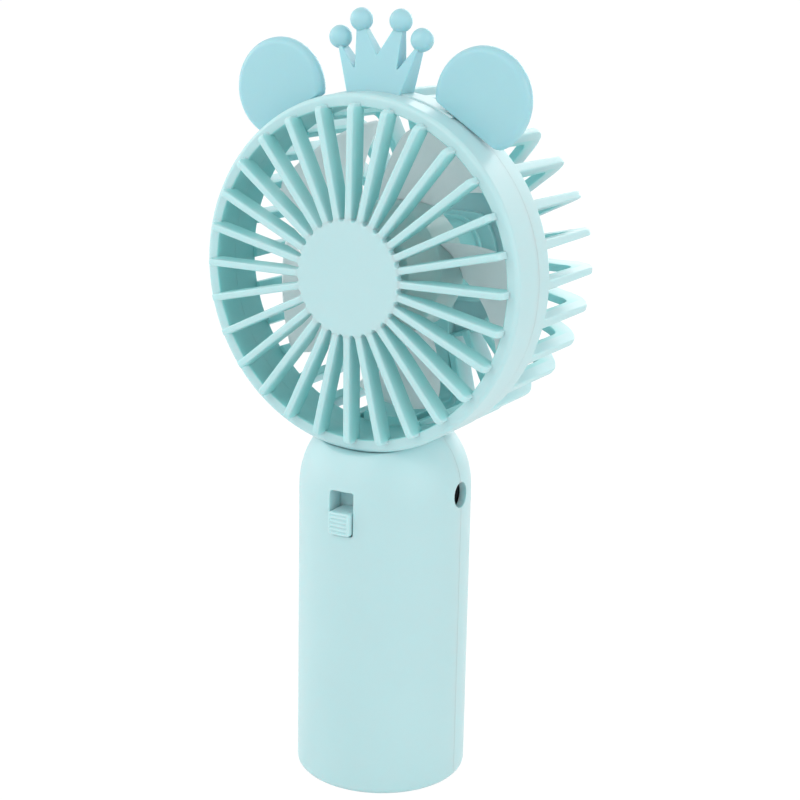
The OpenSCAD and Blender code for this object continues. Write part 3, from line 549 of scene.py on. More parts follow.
@dataclass
class Skin:
    """The points and faces of one piece, gathered from grids of points."""

    blocks: list[Array] = field(default_factory=list)
    quads: list[Array] = field(default_factory=list)
    count: int = 0

    def add(self, points: Array, keep: Array | None = None) -> "Skin":
        """Adds a grid of points and the quads between them.

        Args:
            points: Rows by columns by 3, in millimetres.
            keep: Which of the quads stay, as rows - 1 by columns - 1; all of them if it is left out.

        Returns:
            The skin itself.
        """
        rows, columns = points.shape[:2]
        number = self.count + np.arange(rows * columns).reshape(rows, columns)
        quads = np.stack([number[:-1, :-1], number[:-1, 1:], number[1:, 1:], number[1:, :-1]], -1)
        self.quads.append(quads.reshape(-1, 4) if keep is None else quads[keep])
        self.blocks.append(points.reshape(-1, 3))
        self.count += rows * columns
        return self

    def add_round(self, local: Array, angles: Iterable[float]) -> "Skin":
        """Adds a copy of a grid of (radius, y, side) points at each angle round the fan's axis.

        Args:
            local: The grid in a rib's own plane.
            angles: Angles in degrees.

        Returns:
            The skin itself.
        """
        for angle in angles:
            self.add(round_fan(local, angle))
        return self

    def piece(self, name: str, body: Body, finish: Finish, *nodes: str) -> bpy.types.Object:
        """Makes the piece: merges the grids' edges, fills open ends, turns the faces out and dresses it.

        Args:
            name: The piece's name.
            body: The body that it rides on.
            finish: Its finish.
            nodes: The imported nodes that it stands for.

        Returns:
            The new object.
        """
        mesh = bpy.data.meshes.new(name)
        mesh.from_pydata((np.concatenate(self.blocks) * MM).tolist(), [], np.concatenate(self.quads).tolist())
        form = bmesh.new()
        form.from_mesh(mesh)
        bmesh.ops.remove_doubles(form, verts=form.verts, dist=WELD)
        bmesh.ops.dissolve_degenerate(form, edges=form.edges, dist=WELD)
        bmesh.ops.delete(form, geom=[v for v in form.verts if not v.link_faces], context="VERTS")
        bmesh.ops.holes_fill(form, edges=[e for e in form.edges if e.is_boundary], sides=0)
        bmesh.ops.recalc_face_normals(form, faces=form.faces)
        left_open = sum(not e.is_manifold for e in form.edges)
        form.to_mesh(mesh)
        form.free()
        mesh.shade_smooth()
        mesh.set_sharp_from_angle(angle=SMOOTH_ANGLE)
        mesh.materials.append(finish.material())
        made = in_scene(name, mesh)
        eased = made.modifiers.new("flat faces keep their shading", "WEIGHTED_NORMAL")
        eased.keep_sharp = True
        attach(made, body.value)
        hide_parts(*nodes)
        LOG.info("%s: %d faces, %d open edges, on %s", name, len(mesh.polygons), left_open, body.value)
        return made


@dataclass(frozen=True)
class Head:
    """Places that the pieces of the fan head share."""

    ring_r: float
    ring_in: float = RING_INNER_R
    front_y: float = -15.7
    seam_y: float = -5.3
    back_y: float = 0.4
    rib_count: int = 28
    spigot_wall: float = 1.4
    spigot_y: float = -8.3
    spigot_gap: float = 0.05
    seam_gap: float = 0.008
    round_steps: int = 224

    @classmethod
    def from_frame(cls) -> "Head":
        """Takes the ring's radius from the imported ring."""
        return cls(ring_r=box_mm("front_ring")[1][0])

    def angles(self) -> Array:
        """Angle of each rib, in degrees."""
        return np.arange(self.rib_count) * 360 / self.rib_count

    def ringed(self, rows: Sequence[tuple[Array | float, float]], turn: Array) -> Array:
        """Rings about the fan's axis whose radius may change on the way round.

        Args:
            rows: Radius, one for all angles or one for each, and y of every ring.
            turn: Angles in radians.

        Returns:
            A grid of points, one row for each ring.
        """
        radius = np.stack([np.broadcast_to(r, turn.shape) for r, _ in rows])
        y = np.array([[place] for _, place in rows]) + 0 * turn
        return np.stack([radius * np.cos(turn), y, FAN_AXIS_Z + radius * np.sin(turn)], -1)

    def half_ring(self, corners: Sequence[tuple[float, float, float]]) -> Skin:
        """One half of the ring, from the corners of its section as (radius, y, rounding)."""
        return Skin().add(turned(looped(filleted(corners)), FAN_AXIS, Turn.FAN, self.round_steps))


@dataclass(frozen=True)
class FrontGrille:
    """The front half of the ring, the plain disc and the straight ribs between them."""

    head: Head
    disc_r: float = 13.3
    disc_front_y: float = -19.7
    disc_t: float = 2.3
    swell_power: int = 8
    rib_t: float = 1.7
    rib_depth: float = 5.4
    rib_full_r: float = 20.0
    rib_rounds: tuple[float, float] = (0.48, 0.35)
    rib_lap: float = 0.5
    rib_sink: float = 0.03
    tip_r: float = 39.7
    tip_round: float = 1.5
    tip_taper: float = 0.15
    tip_y: float = -19.3

    def ring(self) -> Skin:
        """The front half of the ring, stepped inside for the rear half's spigot.

        Returns:
            The half ring's skin.
        """
        head = self.head
        back_y = head.seam_y - head.seam_gap
        step_y = head.spigot_y - head.seam_gap
        inner = head.ring_in + head.spigot_wall + head.spigot_gap
        return head.half_ring([
            (head.ring_in, head.front_y, 0.4), (head.ring_r, head.front_y, 1.2), (head.ring_r, back_y, 0.03),
            (inner, back_y, 0), (inner, step_y, 0), (head.ring_in, step_y, 0.05),
        ])

    def disc(self) -> Skin:
        """The plain disc, whose rim ends each gap between the ribs in a half circle.

        At a distance g from a gap's middle, the radius grows by h - sqrt(h^2 - g^2), h being half the gap.
        The growth fades quickly towards the middle of the disc.

        Returns:
            The disc's skin.
        """
        disc_r, front_y = self.disc_r, self.disc_front_y
        back_y = front_y + self.disc_t
        rim = filleted([(0, front_y, 0), (disc_r, front_y, 0.45), (disc_r, back_y, 0.3), (0, back_y, 0)])
        inside = np.stack([np.linspace(0, rim[1, 0], 8)[:-1], np.full(7, front_y)], -1)
        profile = np.concatenate([inside, rim[1:]])
        pitch = 2 * np.pi * disc_r / self.head.rib_count
        half = (pitch - self.rib_t) / 2
        across = np.append(half * np.sin(np.linspace(-np.pi / 2, np.pi / 2, 11)), pitch / 2)
        swell = half - np.sqrt(np.clip(half**2 - across**2, 0, None))
        place = (np.arange(self.head.rib_count)[:, None] + 0.5) * pitch + across
        turn = np.append(place.ravel(), place[0, 0] + pitch * self.head.rib_count) / disc_r
        swell = np.append(np.tile(swell, self.head.rib_count), swell[0])
        rows = [(r + swell * (r / disc_r) ** self.swell_power, y) for r, y in profile]
        return Skin().add(self.head.ringed(rows, turn))

    def ribs(self) -> Skin:
        """The ribs: straight in front, an arc at the tip over the ring's face, and deeper past the disc.

        Returns:
            The skin of all the ribs.
        """
        flat_r = self.tip_r - self.tip_round
        slope = (self.tip_y - self.disc_front_y) / (flat_r - self.disc_r)
        arc = np.linspace(0, np.pi / 2, 7)[1:]
        start = self.disc_r - self.rib_lap
        straight = between([start, self.rib_full_r, flat_r], 3)
        radius = np.concatenate([straight, flat_r + self.tip_round * np.sin(arc)])
        front = np.concatenate([
            self.disc_front_y + slope * (straight - self.disc_r) + self.rib_sink,
            self.tip_y + self.tip_round * (1 - np.cos(arc)),
        ])
        full_y = self.disc_front_y + slope * (self.rib_full_r - self.disc_r) + self.rib_depth
        back = np.interp(
            radius,
            [start, self.rib_full_r, self.head.ring_in - 0.2, self.tip_r],
            [self.disc_front_y + self.disc_t, full_y, self.tip_y + self.rib_depth, self.head.front_y + 1],
        )
        inward = np.tile([0.0, 1.0], (len(radius), 1))
        width = self.rib_t * (1 - self.tip_taper * np.append(0 * straight, np.sin(arc) ** 3))
        local = bar(np.stack([radius, front], -1), inward, back - front, width, self.rib_rounds)
        return Skin().add_round(local, self.head.angles())

    def build(self) -> None:
        """Makes the grille's pieces."""
        self.ring().piece("grille_ring", Body.FAN, HEAD_ABS_PAINTED_SHADE, "front_ring")
        self.disc().piece("grille_disc", Body.FAN, MINT_ABS, "front_grille")
        self.ribs().piece("grille_ribs", Body.FAN, HEAD_ABS_PAINTED_SHADE, "front_grille")


def flatted(turn: Array, radius: float, half_h: float, ease: float = 0.5) -> Array:
    """Radius round a circle whose top and bottom are cut flat at half_h / |sin t|, with the corners eased.

    Args:
        turn: Angles in radians.
        radius: Radius of the circle.
        half_h: Half the height between the flats.
        ease: How far the corners are eased.

    Returns:
        The radius at each angle.
    """
    return eased_least(radius, half_h / np.maximum(np.abs(np.sin(turn)), 0.05), ease)


def quarter_round(outline: Array | float, front_y: float, edge: float) -> list[tuple[Array | float, float]]:
    """Rings that turn from a front face into a side wall.

    Args:
        outline: Radius of the side wall.
        front_y: Place of the front face.
        edge: Radius of the rounding.

    Returns:
        Radius and y of each ring.
    """
    turn = np.linspace(0, np.pi / 2, 5)
    return [(outline - edge * (1 - math.sin(t)), front_y + edge * (1 - math.cos(t))) for t in turn]


@dataclass(frozen=True)
class RearCage:
    """The rear half of the ring, the L-shaped ribs, the motor's seat, the wire duct and the neck.

    The seat, its lip and the two walls of the cup each hold a radius, half the height between their flats
    and the y of their face. Rims and bosses hold a radius and a y.
    """

    head: Head
    cage_r: float = 41.9
    back_y: float = 30.2
    arm: float = 4.0
    bar: float = 7.5
    bar_r: float = 32.0
    corner_r: float = 6.5
    inner_round: float = 2.4
    lap: float = 0.8
    rib_rounds: tuple[float, float] = (0.5, 0.4)
    rib_t: float = 1.9
    root_t: float = 2.4
    plate_r: float = 21.5
    plate_y: tuple[float, float] = (26.25, 30.25)
    plate_rim: tuple[float, float] = (20.3, 24.0)
    seat: tuple[float, float, float] = (16.2, 11.4, 24.8)
    lip: tuple[float, float, float] = (12.6, 10.4, 24.0)
    cup: tuple[float, float, float] = (11.5, 9.35, 0.2)
    cup_in: tuple[float, float, float] = (10.3, 8.15, 1.8)
    cup_hole: float = 3.15
    screw_x: float = 14.0
    boss: tuple[float, float] = (2.4, 22.6)
    duct_width: tuple[float, float] = (8.0, 12.4)
    duct_width_r: tuple[float, float] = (21.5, 41.1)
    duct_depth: tuple[float, float] = (5.2, 6.95)
    duct_angle: float = 270.0
    duct_r: float = 33.5
    duct_rounds: tuple[float, float] = (0.7, 0.5)
    duct_steps: int = 5
    duct_sink: float = 0.05
    slit_r: tuple[float, float] = (27.0, 31.6)
    slit_x: tuple[float, float] = (2.2, 2.7)
    slit_depth: float = 1.6
    neck_y: float = 2.2
    neck_r: float = 7.0
    neck_z: tuple[float, float] = (80.5, 87.6)

    def ring(self) -> Skin:
        """The rear half of the ring, with the spigot that goes into the front half.

        Returns:
            The half ring's skin.
        """
        head = self.head
        front = head.seam_y + head.seam_gap
        tip = head.spigot_y + head.seam_gap
        outer = head.ring_in + head.spigot_wall
        return head.half_ring([
            (head.ring_in, tip, 0.12), (outer, tip, 0.1), (outer, front, 0), (head.ring_r, front, 0.03),
            (head.ring_r, head.back_y, 0.5), (head.ring_in, head.back_y, 0.4),
        ])

    def corner_line(self, reach: float, back_y: float, round_r: float, breaks: Array) -> Array:
        """One side of an L: along the ring's axis, round the corner, then towards the hub.

        Args:
            reach: Radius of the part along the axis.
            back_y: Place of the part towards the hub.
            round_r: Radius of the corner.
            breaks: Falling radii of the last part's points.

        Returns:
            The line's (radius, y) points.
        """
        turn = np.linspace(0, np.pi / 2, 13)
        centre = np.array([reach - round_r, back_y - round_r])
        corner = centre + round_r * np.stack([np.cos(turn), np.sin(turn)], -1)
        arm_y = np.linspace(self.head.back_y - self.lap, centre[1], 8)[:-1]
        arm = np.stack([np.full(len(arm_y), reach), arm_y], -1)
        return np.concatenate([arm, corner, np.stack([breaks, np.full(len(breaks), back_y)], -1)])

    def angled(self, arm: float, depth: float, back_y: float, breaks: Array) -> tuple[Array, Array, Array]:
        """The outer line of an L, with the way and the distance to its inner line at each point.

        Args:
            arm: Depth of the part along the axis.
            depth: Depth of the part towards the hub.
            back_y: Rear face.
            breaks: Falling radii of the points on the part towards the hub.

        Returns:
            Points, inward directions and depths.
        """
        outer = self.corner_line(self.cage_r, back_y, self.corner_r, breaks)
        inner = self.corner_line(self.cage_r - arm, back_y - depth, self.inner_round, breaks)
        across = inner - outer
        return outer, unit(across), np.linalg.norm(across, axis=-1)

    def ribs(self) -> Skin:
        """All L-shaped ribs but the lowest, where the duct is; their arms widen towards the ring.

        Returns:
            The skin of all the ribs.
        """
        breaks = np.linspace(self.bar_r, self.plate_r - self.lap, 5)
        line, inward, depth = self.angled(self.arm, self.bar, self.back_y, breaks)
        arm_y = self.head.back_y, self.back_y - self.corner_r
        width = np.interp(line[:, 1], arm_y, [self.root_t, self.rib_t])
        local = bar(line, inward, depth, width, self.rib_rounds)
        angles = self.head.angles()
        return Skin().add_round(local, angles[angles != self.duct_angle])

    def motor_seat(self) -> Skin:
        """The hub plate with its rim, raised seat and lip, the flat-sided motor cup and two screw bosses.

        Returns:
            The seat's skin.
        """
        turn = np.linspace(0, 2 * np.pi, 181)
        low, high = self.plate_y
        rim_r, rim_y = self.plate_rim
        sizes = self.seat, self.lip, self.cup, self.cup_in
        seat, lip, cup, inside = (flatted(turn, radius, half_h) for radius, half_h, _ in sizes)
        rows = [
            (self.cup_hole, self.cup[2]), *quarter_round(cup, self.cup[2], 0.8),
            (cup, self.lip[2]), *quarter_round(lip, self.lip[2], 0.25),
            (lip, self.seat[2]), *quarter_round(seat, self.seat[2], 0.3),
            (seat, low), (rim_r, low), (rim_r, rim_y + 0.25), (rim_r + 0.25, rim_y),
            *quarter_round(self.plate_r, rim_y, 0.4),
            (self.plate_r, high - 0.4), (self.plate_r - 0.4, high), (inside, high),
            (inside, self.cup_in[2]), (self.cup_hole, self.cup_in[2]), (self.cup_hole, self.cup[2]),
        ]
        skin = Skin().add(self.head.ringed(rows, turn))
        boss_r, boss_y = self.boss
        foot_y = low + 0.1
        boss = filleted([(0, boss_y, 0), (boss_r, boss_y, 0.3), (boss_r, foot_y, 0), (0, foot_y, 0)])
        for side in (-1, 1):
            skin.add(turned(boss, (side * self.screw_x, FAN_AXIS_Z), Turn.FAN, 32))
        return skin

    def wire_duct(self) -> Skin:
        """The closed duct: a wide L on the lowest rib's line, curved across with the ring, and slit in front.

        At a distance w to the side, a radius r drops to sqrt(r^2 - w^2), so the face follows the cylinder.

        Returns:
            The duct's skin.
        """
        near, far = self.slit_r
        breaks = np.array([self.duct_r, far, far, near, near, self.cup[1]])
        line, inward, depth = self.angled(*self.duct_depth, self.back_y - self.duct_sink, breaks)
        width = np.interp(line[:, 0], self.duct_width_r, self.duct_width)
        local = bar(line, inward, depth, width, self.duct_rounds, self.duct_steps)
        sunk = np.zeros((len(line), 4))
        sunk[-4:-2, 1:3] = self.slit_depth
        flat = line[:, None] + inward[:, None] * (depth[:, None] - sunk)[..., None]
        sides = np.broadcast_to(np.repeat(self.slit_x, 2), sunk.shape)
        slit = np.concatenate([flat, sides[..., None]], -1)
        # The slit's four columns go between the two rounded corners of the duct's inner face.
        middle = 3 * self.duct_steps
        local = np.concatenate([local[:, :middle], slit, local[:, middle:]], 1)
        local[..., 0] = np.sqrt(local[..., 0] ** 2 - local[..., 2] ** 2)
        return Skin().add_round(local, [self.duct_angle])

    def neck(self) -> Skin:
        """The short round neck that goes down into the handle.

        Returns:
            The neck's skin.
        """
        low, high = self.neck_z
        profile = np.array([(0, low), (self.neck_r, low), (self.neck_r, high), (0, high)], float)
        return Skin().add(turned(profile, (0, self.neck_y), Turn.UPRIGHT, 64))

    def build(self) -> None:
        """Makes the cage's pieces."""
        self.ring().piece("cage_ring", Body.FAN, HEAD_ABS_PAINTED_SHADE, "rear_ring")
        self.ribs().piece("cage_ribs", Body.FAN, HEAD_ABS_PAINTED_SHADE, "rear_cage")
        self.motor_seat().piece("motor_seat", Body.FAN, HEAD_ABS_PAINTED_SHADE, "hub_plate")
        self.wire_duct().piece("wire_duct", Body.FAN, HEAD_ABS_PAINTED_SHADE, "rear_ring")
        self.neck().piece("neck", Body.FAN, MINT_ABS, "rear_ring")


@dataclass(frozen=True)
class Topper:
    """The two round ears, and the crown with its balls on a band over the ring.

    Half the crown's outline runs from its foot over two spikes to the middle valley. It and the balls are
    places of x and height above the fan's axis.
    """

    ear_y: float = -5.9
    ear_angle: float = 56.9
    ear_reach: float = 49.25
    ear_r: float = 12.0
    ear_t: float = 4.2
    ear_chord: float = 42.45
    ear_edge: float = 1.8
    ear_dome: float = 0.25
    cut_edge: float = 0.3
    cut_ease: float = 0.3
    ball_r: float = 2.7
    balls: tuple[tuple[float, float], ...] = ((-10.8, 53.8), (-5.2, 57.9), (5.2, 57.9), (10.8, 53.8))
    crown_y: float = -5.6
    crown_edge: float = 0.25
    valley_round: float = 0.2
    crown_z: tuple[float, float] = (39.4, 58.0)
    crown_t: tuple[float, float] = (7.6, 1.2)
    crown_half: tuple[tuple[float, float], ...] = (
        (6.7, 40.4), (10.75, 52.4), (10.1, 52.4), (5.5, 46.7), (6.2, 56.9), (4.2, 56.9), (0.0, 50.0),
    )
    valleys: tuple[int, ...] = (3, 6, 9)
    band_r: tuple[float, float] = (41.6, 42.35)
    band_y: tuple[float, float] = (-8.3, -2.3)
    band_span: tuple[float, float] = (61.6, 118.4)

    def ear(self, angle: float) -> Skin:
        """A round disc with soft edges, cut flat where it sits on the ring.

        Round the ear's middle, the outline is the smaller of the ear's radius and the distance to the cut,
        blended over half a millimetre. The edge is rounded wide on the round part and tight along the cut,
        and both faces rise a little to the middle.

        Args:
            angle: Where the ear stands on the ring, in degrees.

        Returns:
            The ear's skin.
        """
        turn = np.radians(between([0, 120, 128, 180, 232, 240, 360], 2))
        cut = (self.ear_reach - self.ear_chord) / np.clip(-np.cos(turn), 1e-3, None)
        outline = eased_least(self.ear_r, cut, self.cut_ease)
        flatness = np.clip((self.ear_r - 0.2 - outline) / 0.6, 0, 1)
        edge = self.ear_edge + (self.cut_edge - self.ear_edge) * flatness
        share = np.linspace(0, 1, 9)[:-1, None]
        curve = np.linspace(0, np.pi / 2, 9)[:, None]
        half = self.ear_t / 2
        rim_y = half - self.ear_dome
        face = np.stack([share * (outline - edge), half - self.ear_dome * share**2 + 0 * turn], -1)
        rim = np.stack([
            outline - edge * (1 - np.sin(curve)), rim_y - np.minimum(edge, rim_y) * (1 - np.cos(curve)),
        ], -1)
        near = np.concatenate([face, rim])
        away, lift = np.moveaxis(np.concatenate([near, near[::-1] * (1, -1)]), -1, 0)
        local = [self.ear_reach + away * np.cos(turn), self.ear_y - lift, away * np.sin(turn)]
        return Skin().add_round(np.stack(local, -1), [angle])

    def crown_outline(self, inset: float) -> Array:
        """The crown's outline, moved inwards, with its valleys rounded.

        A corner between edges with inward normals m and n moves by d (m + n) / (1 + m . n).

        Args:
            inset: How far the outline moves inwards.

        Returns:
            Points of x and height above the fan's axis.
        """
        half = np.array(self.crown_half)
        corners = np.concatenate([half, half[-2::-1] * (-1, 1)])
        along = unit(np.roll(corners, -1, axis=0) - corners)
        normal = np.stack([-along[:, 1], along[:, 0]], -1)
        before = np.roll(normal, 1, axis=0)
        share = inset / (1 + np.sum(before * normal, axis=-1, keepdims=True))
        moved = corners + (before + normal) * share
        turns = np.zeros(len(moved))
        turns[list(self.valleys)] = self.valley_round + inset
        return filleted([(x, z, r) for (x, z), r in zip(moved, turns)])

    def crown(self) -> Skin:
        """The crown: one plate with four spikes that lean apart, thinner towards the top, its edges eased.

        Returns:
            The crown's skin.
        """
        edge = self.crown_edge
        rows = []
        for side, turns in ((-1, np.linspace(0, np.pi / 2, 5)), (1, np.linspace(np.pi / 2, 0, 5))):
            for turn in turns:
                x, z = self.crown_outline(edge * (1 - math.sin(turn))).T
                half_t = np.interp(z, self.crown_z, self.crown_t) / 2 - edge * (1 - math.cos(turn))
                rows.append(np.stack([x, self.crown_y + side * half_t, FAN_AXIS_Z + z], -1))
        grid = np.stack(rows)
        return Skin().add(np.concatenate([grid, grid[:, :1]], 1))

    def crown_balls(self) -> Skin:
        """The four balls on the tips of the spikes.

        Returns:
            The skin of all the balls.
        """
        skin = Skin()
        for x, z in self.balls:
            skin.add(ball((x, self.crown_y, FAN_AXIS_Z + z), self.ball_r))
        return skin

    def band(self) -> Skin:
        """The thin band under the crown, along the top of the ring.

        Returns:
            The band's skin.
        """
        (low, high), (near, far) = self.band_y, self.band_r
        profile = filleted([(near, low, 0), (far, low, 0.3), (far, high, 0.3), (near, high, 0)])
        return Skin().add(turned(looped(profile), FAN_AXIS, Turn.FAN, 48, self.band_span))

    def build(self) -> None:
        """Makes the topper's pieces."""
        self.ear(self.ear_angle).piece("ear_disc_right", Body.FAN, TEAL_ABS, "ear_right")
        self.ear(180 - self.ear_angle).piece("ear_disc_left", Body.FAN, TEAL_ABS, "ear_left")
        self.crown_balls().piece("crown_balls", Body.FAN, TEAL_ABS, "crown_band")
        self.crown().piece("crown", Body.FAN, TEAL_ABS, "crown_band")
        self.band().piece("topper_band", Body.FAN, MINT_ABS, "crown_band")


@dataclass(frozen=True)
class Impeller:
    """The frosted hub with its swept blades.

    The leading and the trailing edge each hold their angle at the root and at the tip, in degrees. The
    corner holds the share of the span where the tip's rounding begins and how far it pulls in, in degrees.
    """

    nose_r: float = 10.8
    nose_y: float = -9.7
    shoulder_y: float = -3.8
    hub_r: float = 16.2
    back_y: float = 8.0
    wall: float = 1.2
    boss: tuple[float, float, float] = (1.02, 3.2, -1.2)
    blades: int = 5
    root_r: float = 15.5
    tip_r: float = 35.0
    lead: tuple[float, float] = (27.0, 8.0)
    trail: tuple[float, float] = (-7.0, -43.5)
    front_y: float = -1.5
    depth: float = 9.5
    camber: float = 0.1
    normal_slope: float = 0.35
    thickness: tuple[float, float] = (1.5, 1.1)
    section_power: float = 0.6
    tip_from: float = 0.94
    corner: tuple[float, float] = (0.8, 5.0)

    def hub(self) -> Skin:
        """The hollow hub cap and the boss that takes the shaft.

        Returns:
            The hub's skin.
        """
        inner_y, inner_r = self.nose_y + self.wall, self.hub_r - self.wall
        cap = filleted([
            (0, self.nose_y, 0), (self.nose_r, self.nose_y, 0.8), (self.hub_r, self.shoulder_y, 1.2),
            (self.hub_r, self.back_y, 0.3), (inner_r, self.back_y, 0.3),
            (inner_r, self.shoulder_y + 0.3, 0.6), (self.nose_r - 0.6, inner_y, 0.4), (0, inner_y, 0),
        ])
        bore, outer, end = self.boss
        sleeve = np.array([(bore, inner_y - 0.2), (outer, inner_y - 0.2), (outer, end), (bore, end)])
        skin = Skin().add(turned(cap, FAN_AXIS, Turn.FAN, 120))
        return skin.add(turned(looped(sleeve), FAN_AXIS, Turn.FAN, 40))

    def blade(self) -> Array:
        """One blade as rows from root to tip, each a closed loop round its thin section.

        At a share s of the span and c of the chord, the angle runs from the leading to the trailing edge,
        y = front + depth x (c + camber x sin(pi c)), and the thickness thins to the edges and the tip.

        Returns:
            A grid of (radius, y, side) points.
        """
        tip_span = 1 - self.tip_from
        rounding = 1 - np.sin(np.linspace(0, np.pi / 2, 7)[1:])
        share = np.concatenate([np.linspace(0, self.tip_from, 22), 1 - tip_span * rounding])[:, None]
        loop = np.linspace(0, 2 * np.pi, 73)
        chord = (1 - np.cos(loop)) / 2
        start, pull = self.corner
        past = np.clip((share - start) / (1 - start), 0, 1)
        draw = pull * (1 - np.sqrt(1 - past**2))
        lead = self.lead[0] + (self.lead[1] - self.lead[0]) * share - draw
        trail = self.trail[0] + (self.trail[1] - self.trail[0]) * share + draw
        angle = np.radians(lead + (trail - lead) * chord)
        radius = self.root_r + (self.tip_r - self.root_r) * share
        y = self.front_y + self.depth * (chord + self.camber * np.sin(np.pi * chord)) + 0 * share
        middle = np.stack([radius * np.cos(angle), y, radius * np.sin(angle)], -1)
        slope = self.normal_slope
        normal = unit(np.stack([slope * np.sin(angle), np.ones_like(angle), -slope * np.cos(angle)], -1))
        thick = self.thickness[0] + (self.thickness[1] - self.thickness[0]) * share
        tip = np.sqrt(np.clip(1 - np.clip((share - self.tip_from) / tip_span, 0, 1) ** 2, 0, 1))
        swell = np.sign(np.sin(loop)) * np.abs(np.sin(loop)) ** self.section_power
        return middle + normal * (0.5 * thick * tip * swell)[..., None]

    def fan_blades(self) -> Skin:
        """All blades, evenly round the hub."""
        return Skin().add_round(self.blade(), np.arange(self.blades) * 360 / self.blades)

    def build(self) -> None:
        """Makes the impeller's pieces."""
        self.hub().piece("impeller_hub", Body.ROTOR, FROSTED_HUB_PAINTED_MINT, "impeller")
        self.fan_blades().piece("impeller_blades", Body.ROTOR, FROSTED_PP, "impeller")


@dataclass(frozen=True)
class Opening:
    """An opening through a shell, drilled along Y or along X.

    The outline is a superellipse about its middle in the (h, z) plane, h being x or the distance from the
    parting plane. The lip is a list of rows: how far inside the outline, how far below the skin, and, if
    it isn't None, a fixed place along the drill instead.
    """

    rows: tuple[float, float]
    turns: tuple[float, float]
    middle: tuple[float, float]
    half: tuple[float, float]
    power: float
    along_y: bool
    lip: tuple[tuple[float, float, float | None], ...]

    def outline(self, towards: Array, inset: float) -> Array:
        """Where rays from the middle meet the outline.

        A ray (a, b) meets the superellipse of half sizes p and q at 1 / (|a / p|^n + |b / q|^n)^(1 / n).

        Args:
            towards: Points (h, z) that the rays aim at.
            inset: How far inside the full outline.

        Returns:
            The points (h, z).
        """
        ray = towards - self.middle
        size = np.abs(ray / (np.array(self.half) - inset)) ** self.power
        return self.middle + ray / size.sum(-1, keepdims=True) ** (1 / self.power)


def rounded_lip(width: float, round_r: float) -> tuple[tuple[float, float, None], ...]:
    """Rows of a flat margin that ends in a quarter-round edge.

    Args:
        width: Distance from the outline to the wall of the opening.
        round_r: Radius of the edge.

    Returns:
        Lip rows, from the outline to the foot of the edge.
    """
    turn = np.radians([30, 60, 90])
    edge = [(width - round_r + round_r * math.sin(a), round_r * (1 - math.cos(a)), None) for a in turn]
    return ((0.0, 0.0, None), ((width - round_r) / 2, 0.0, None), (width - round_r, 0.0, None), *edge)


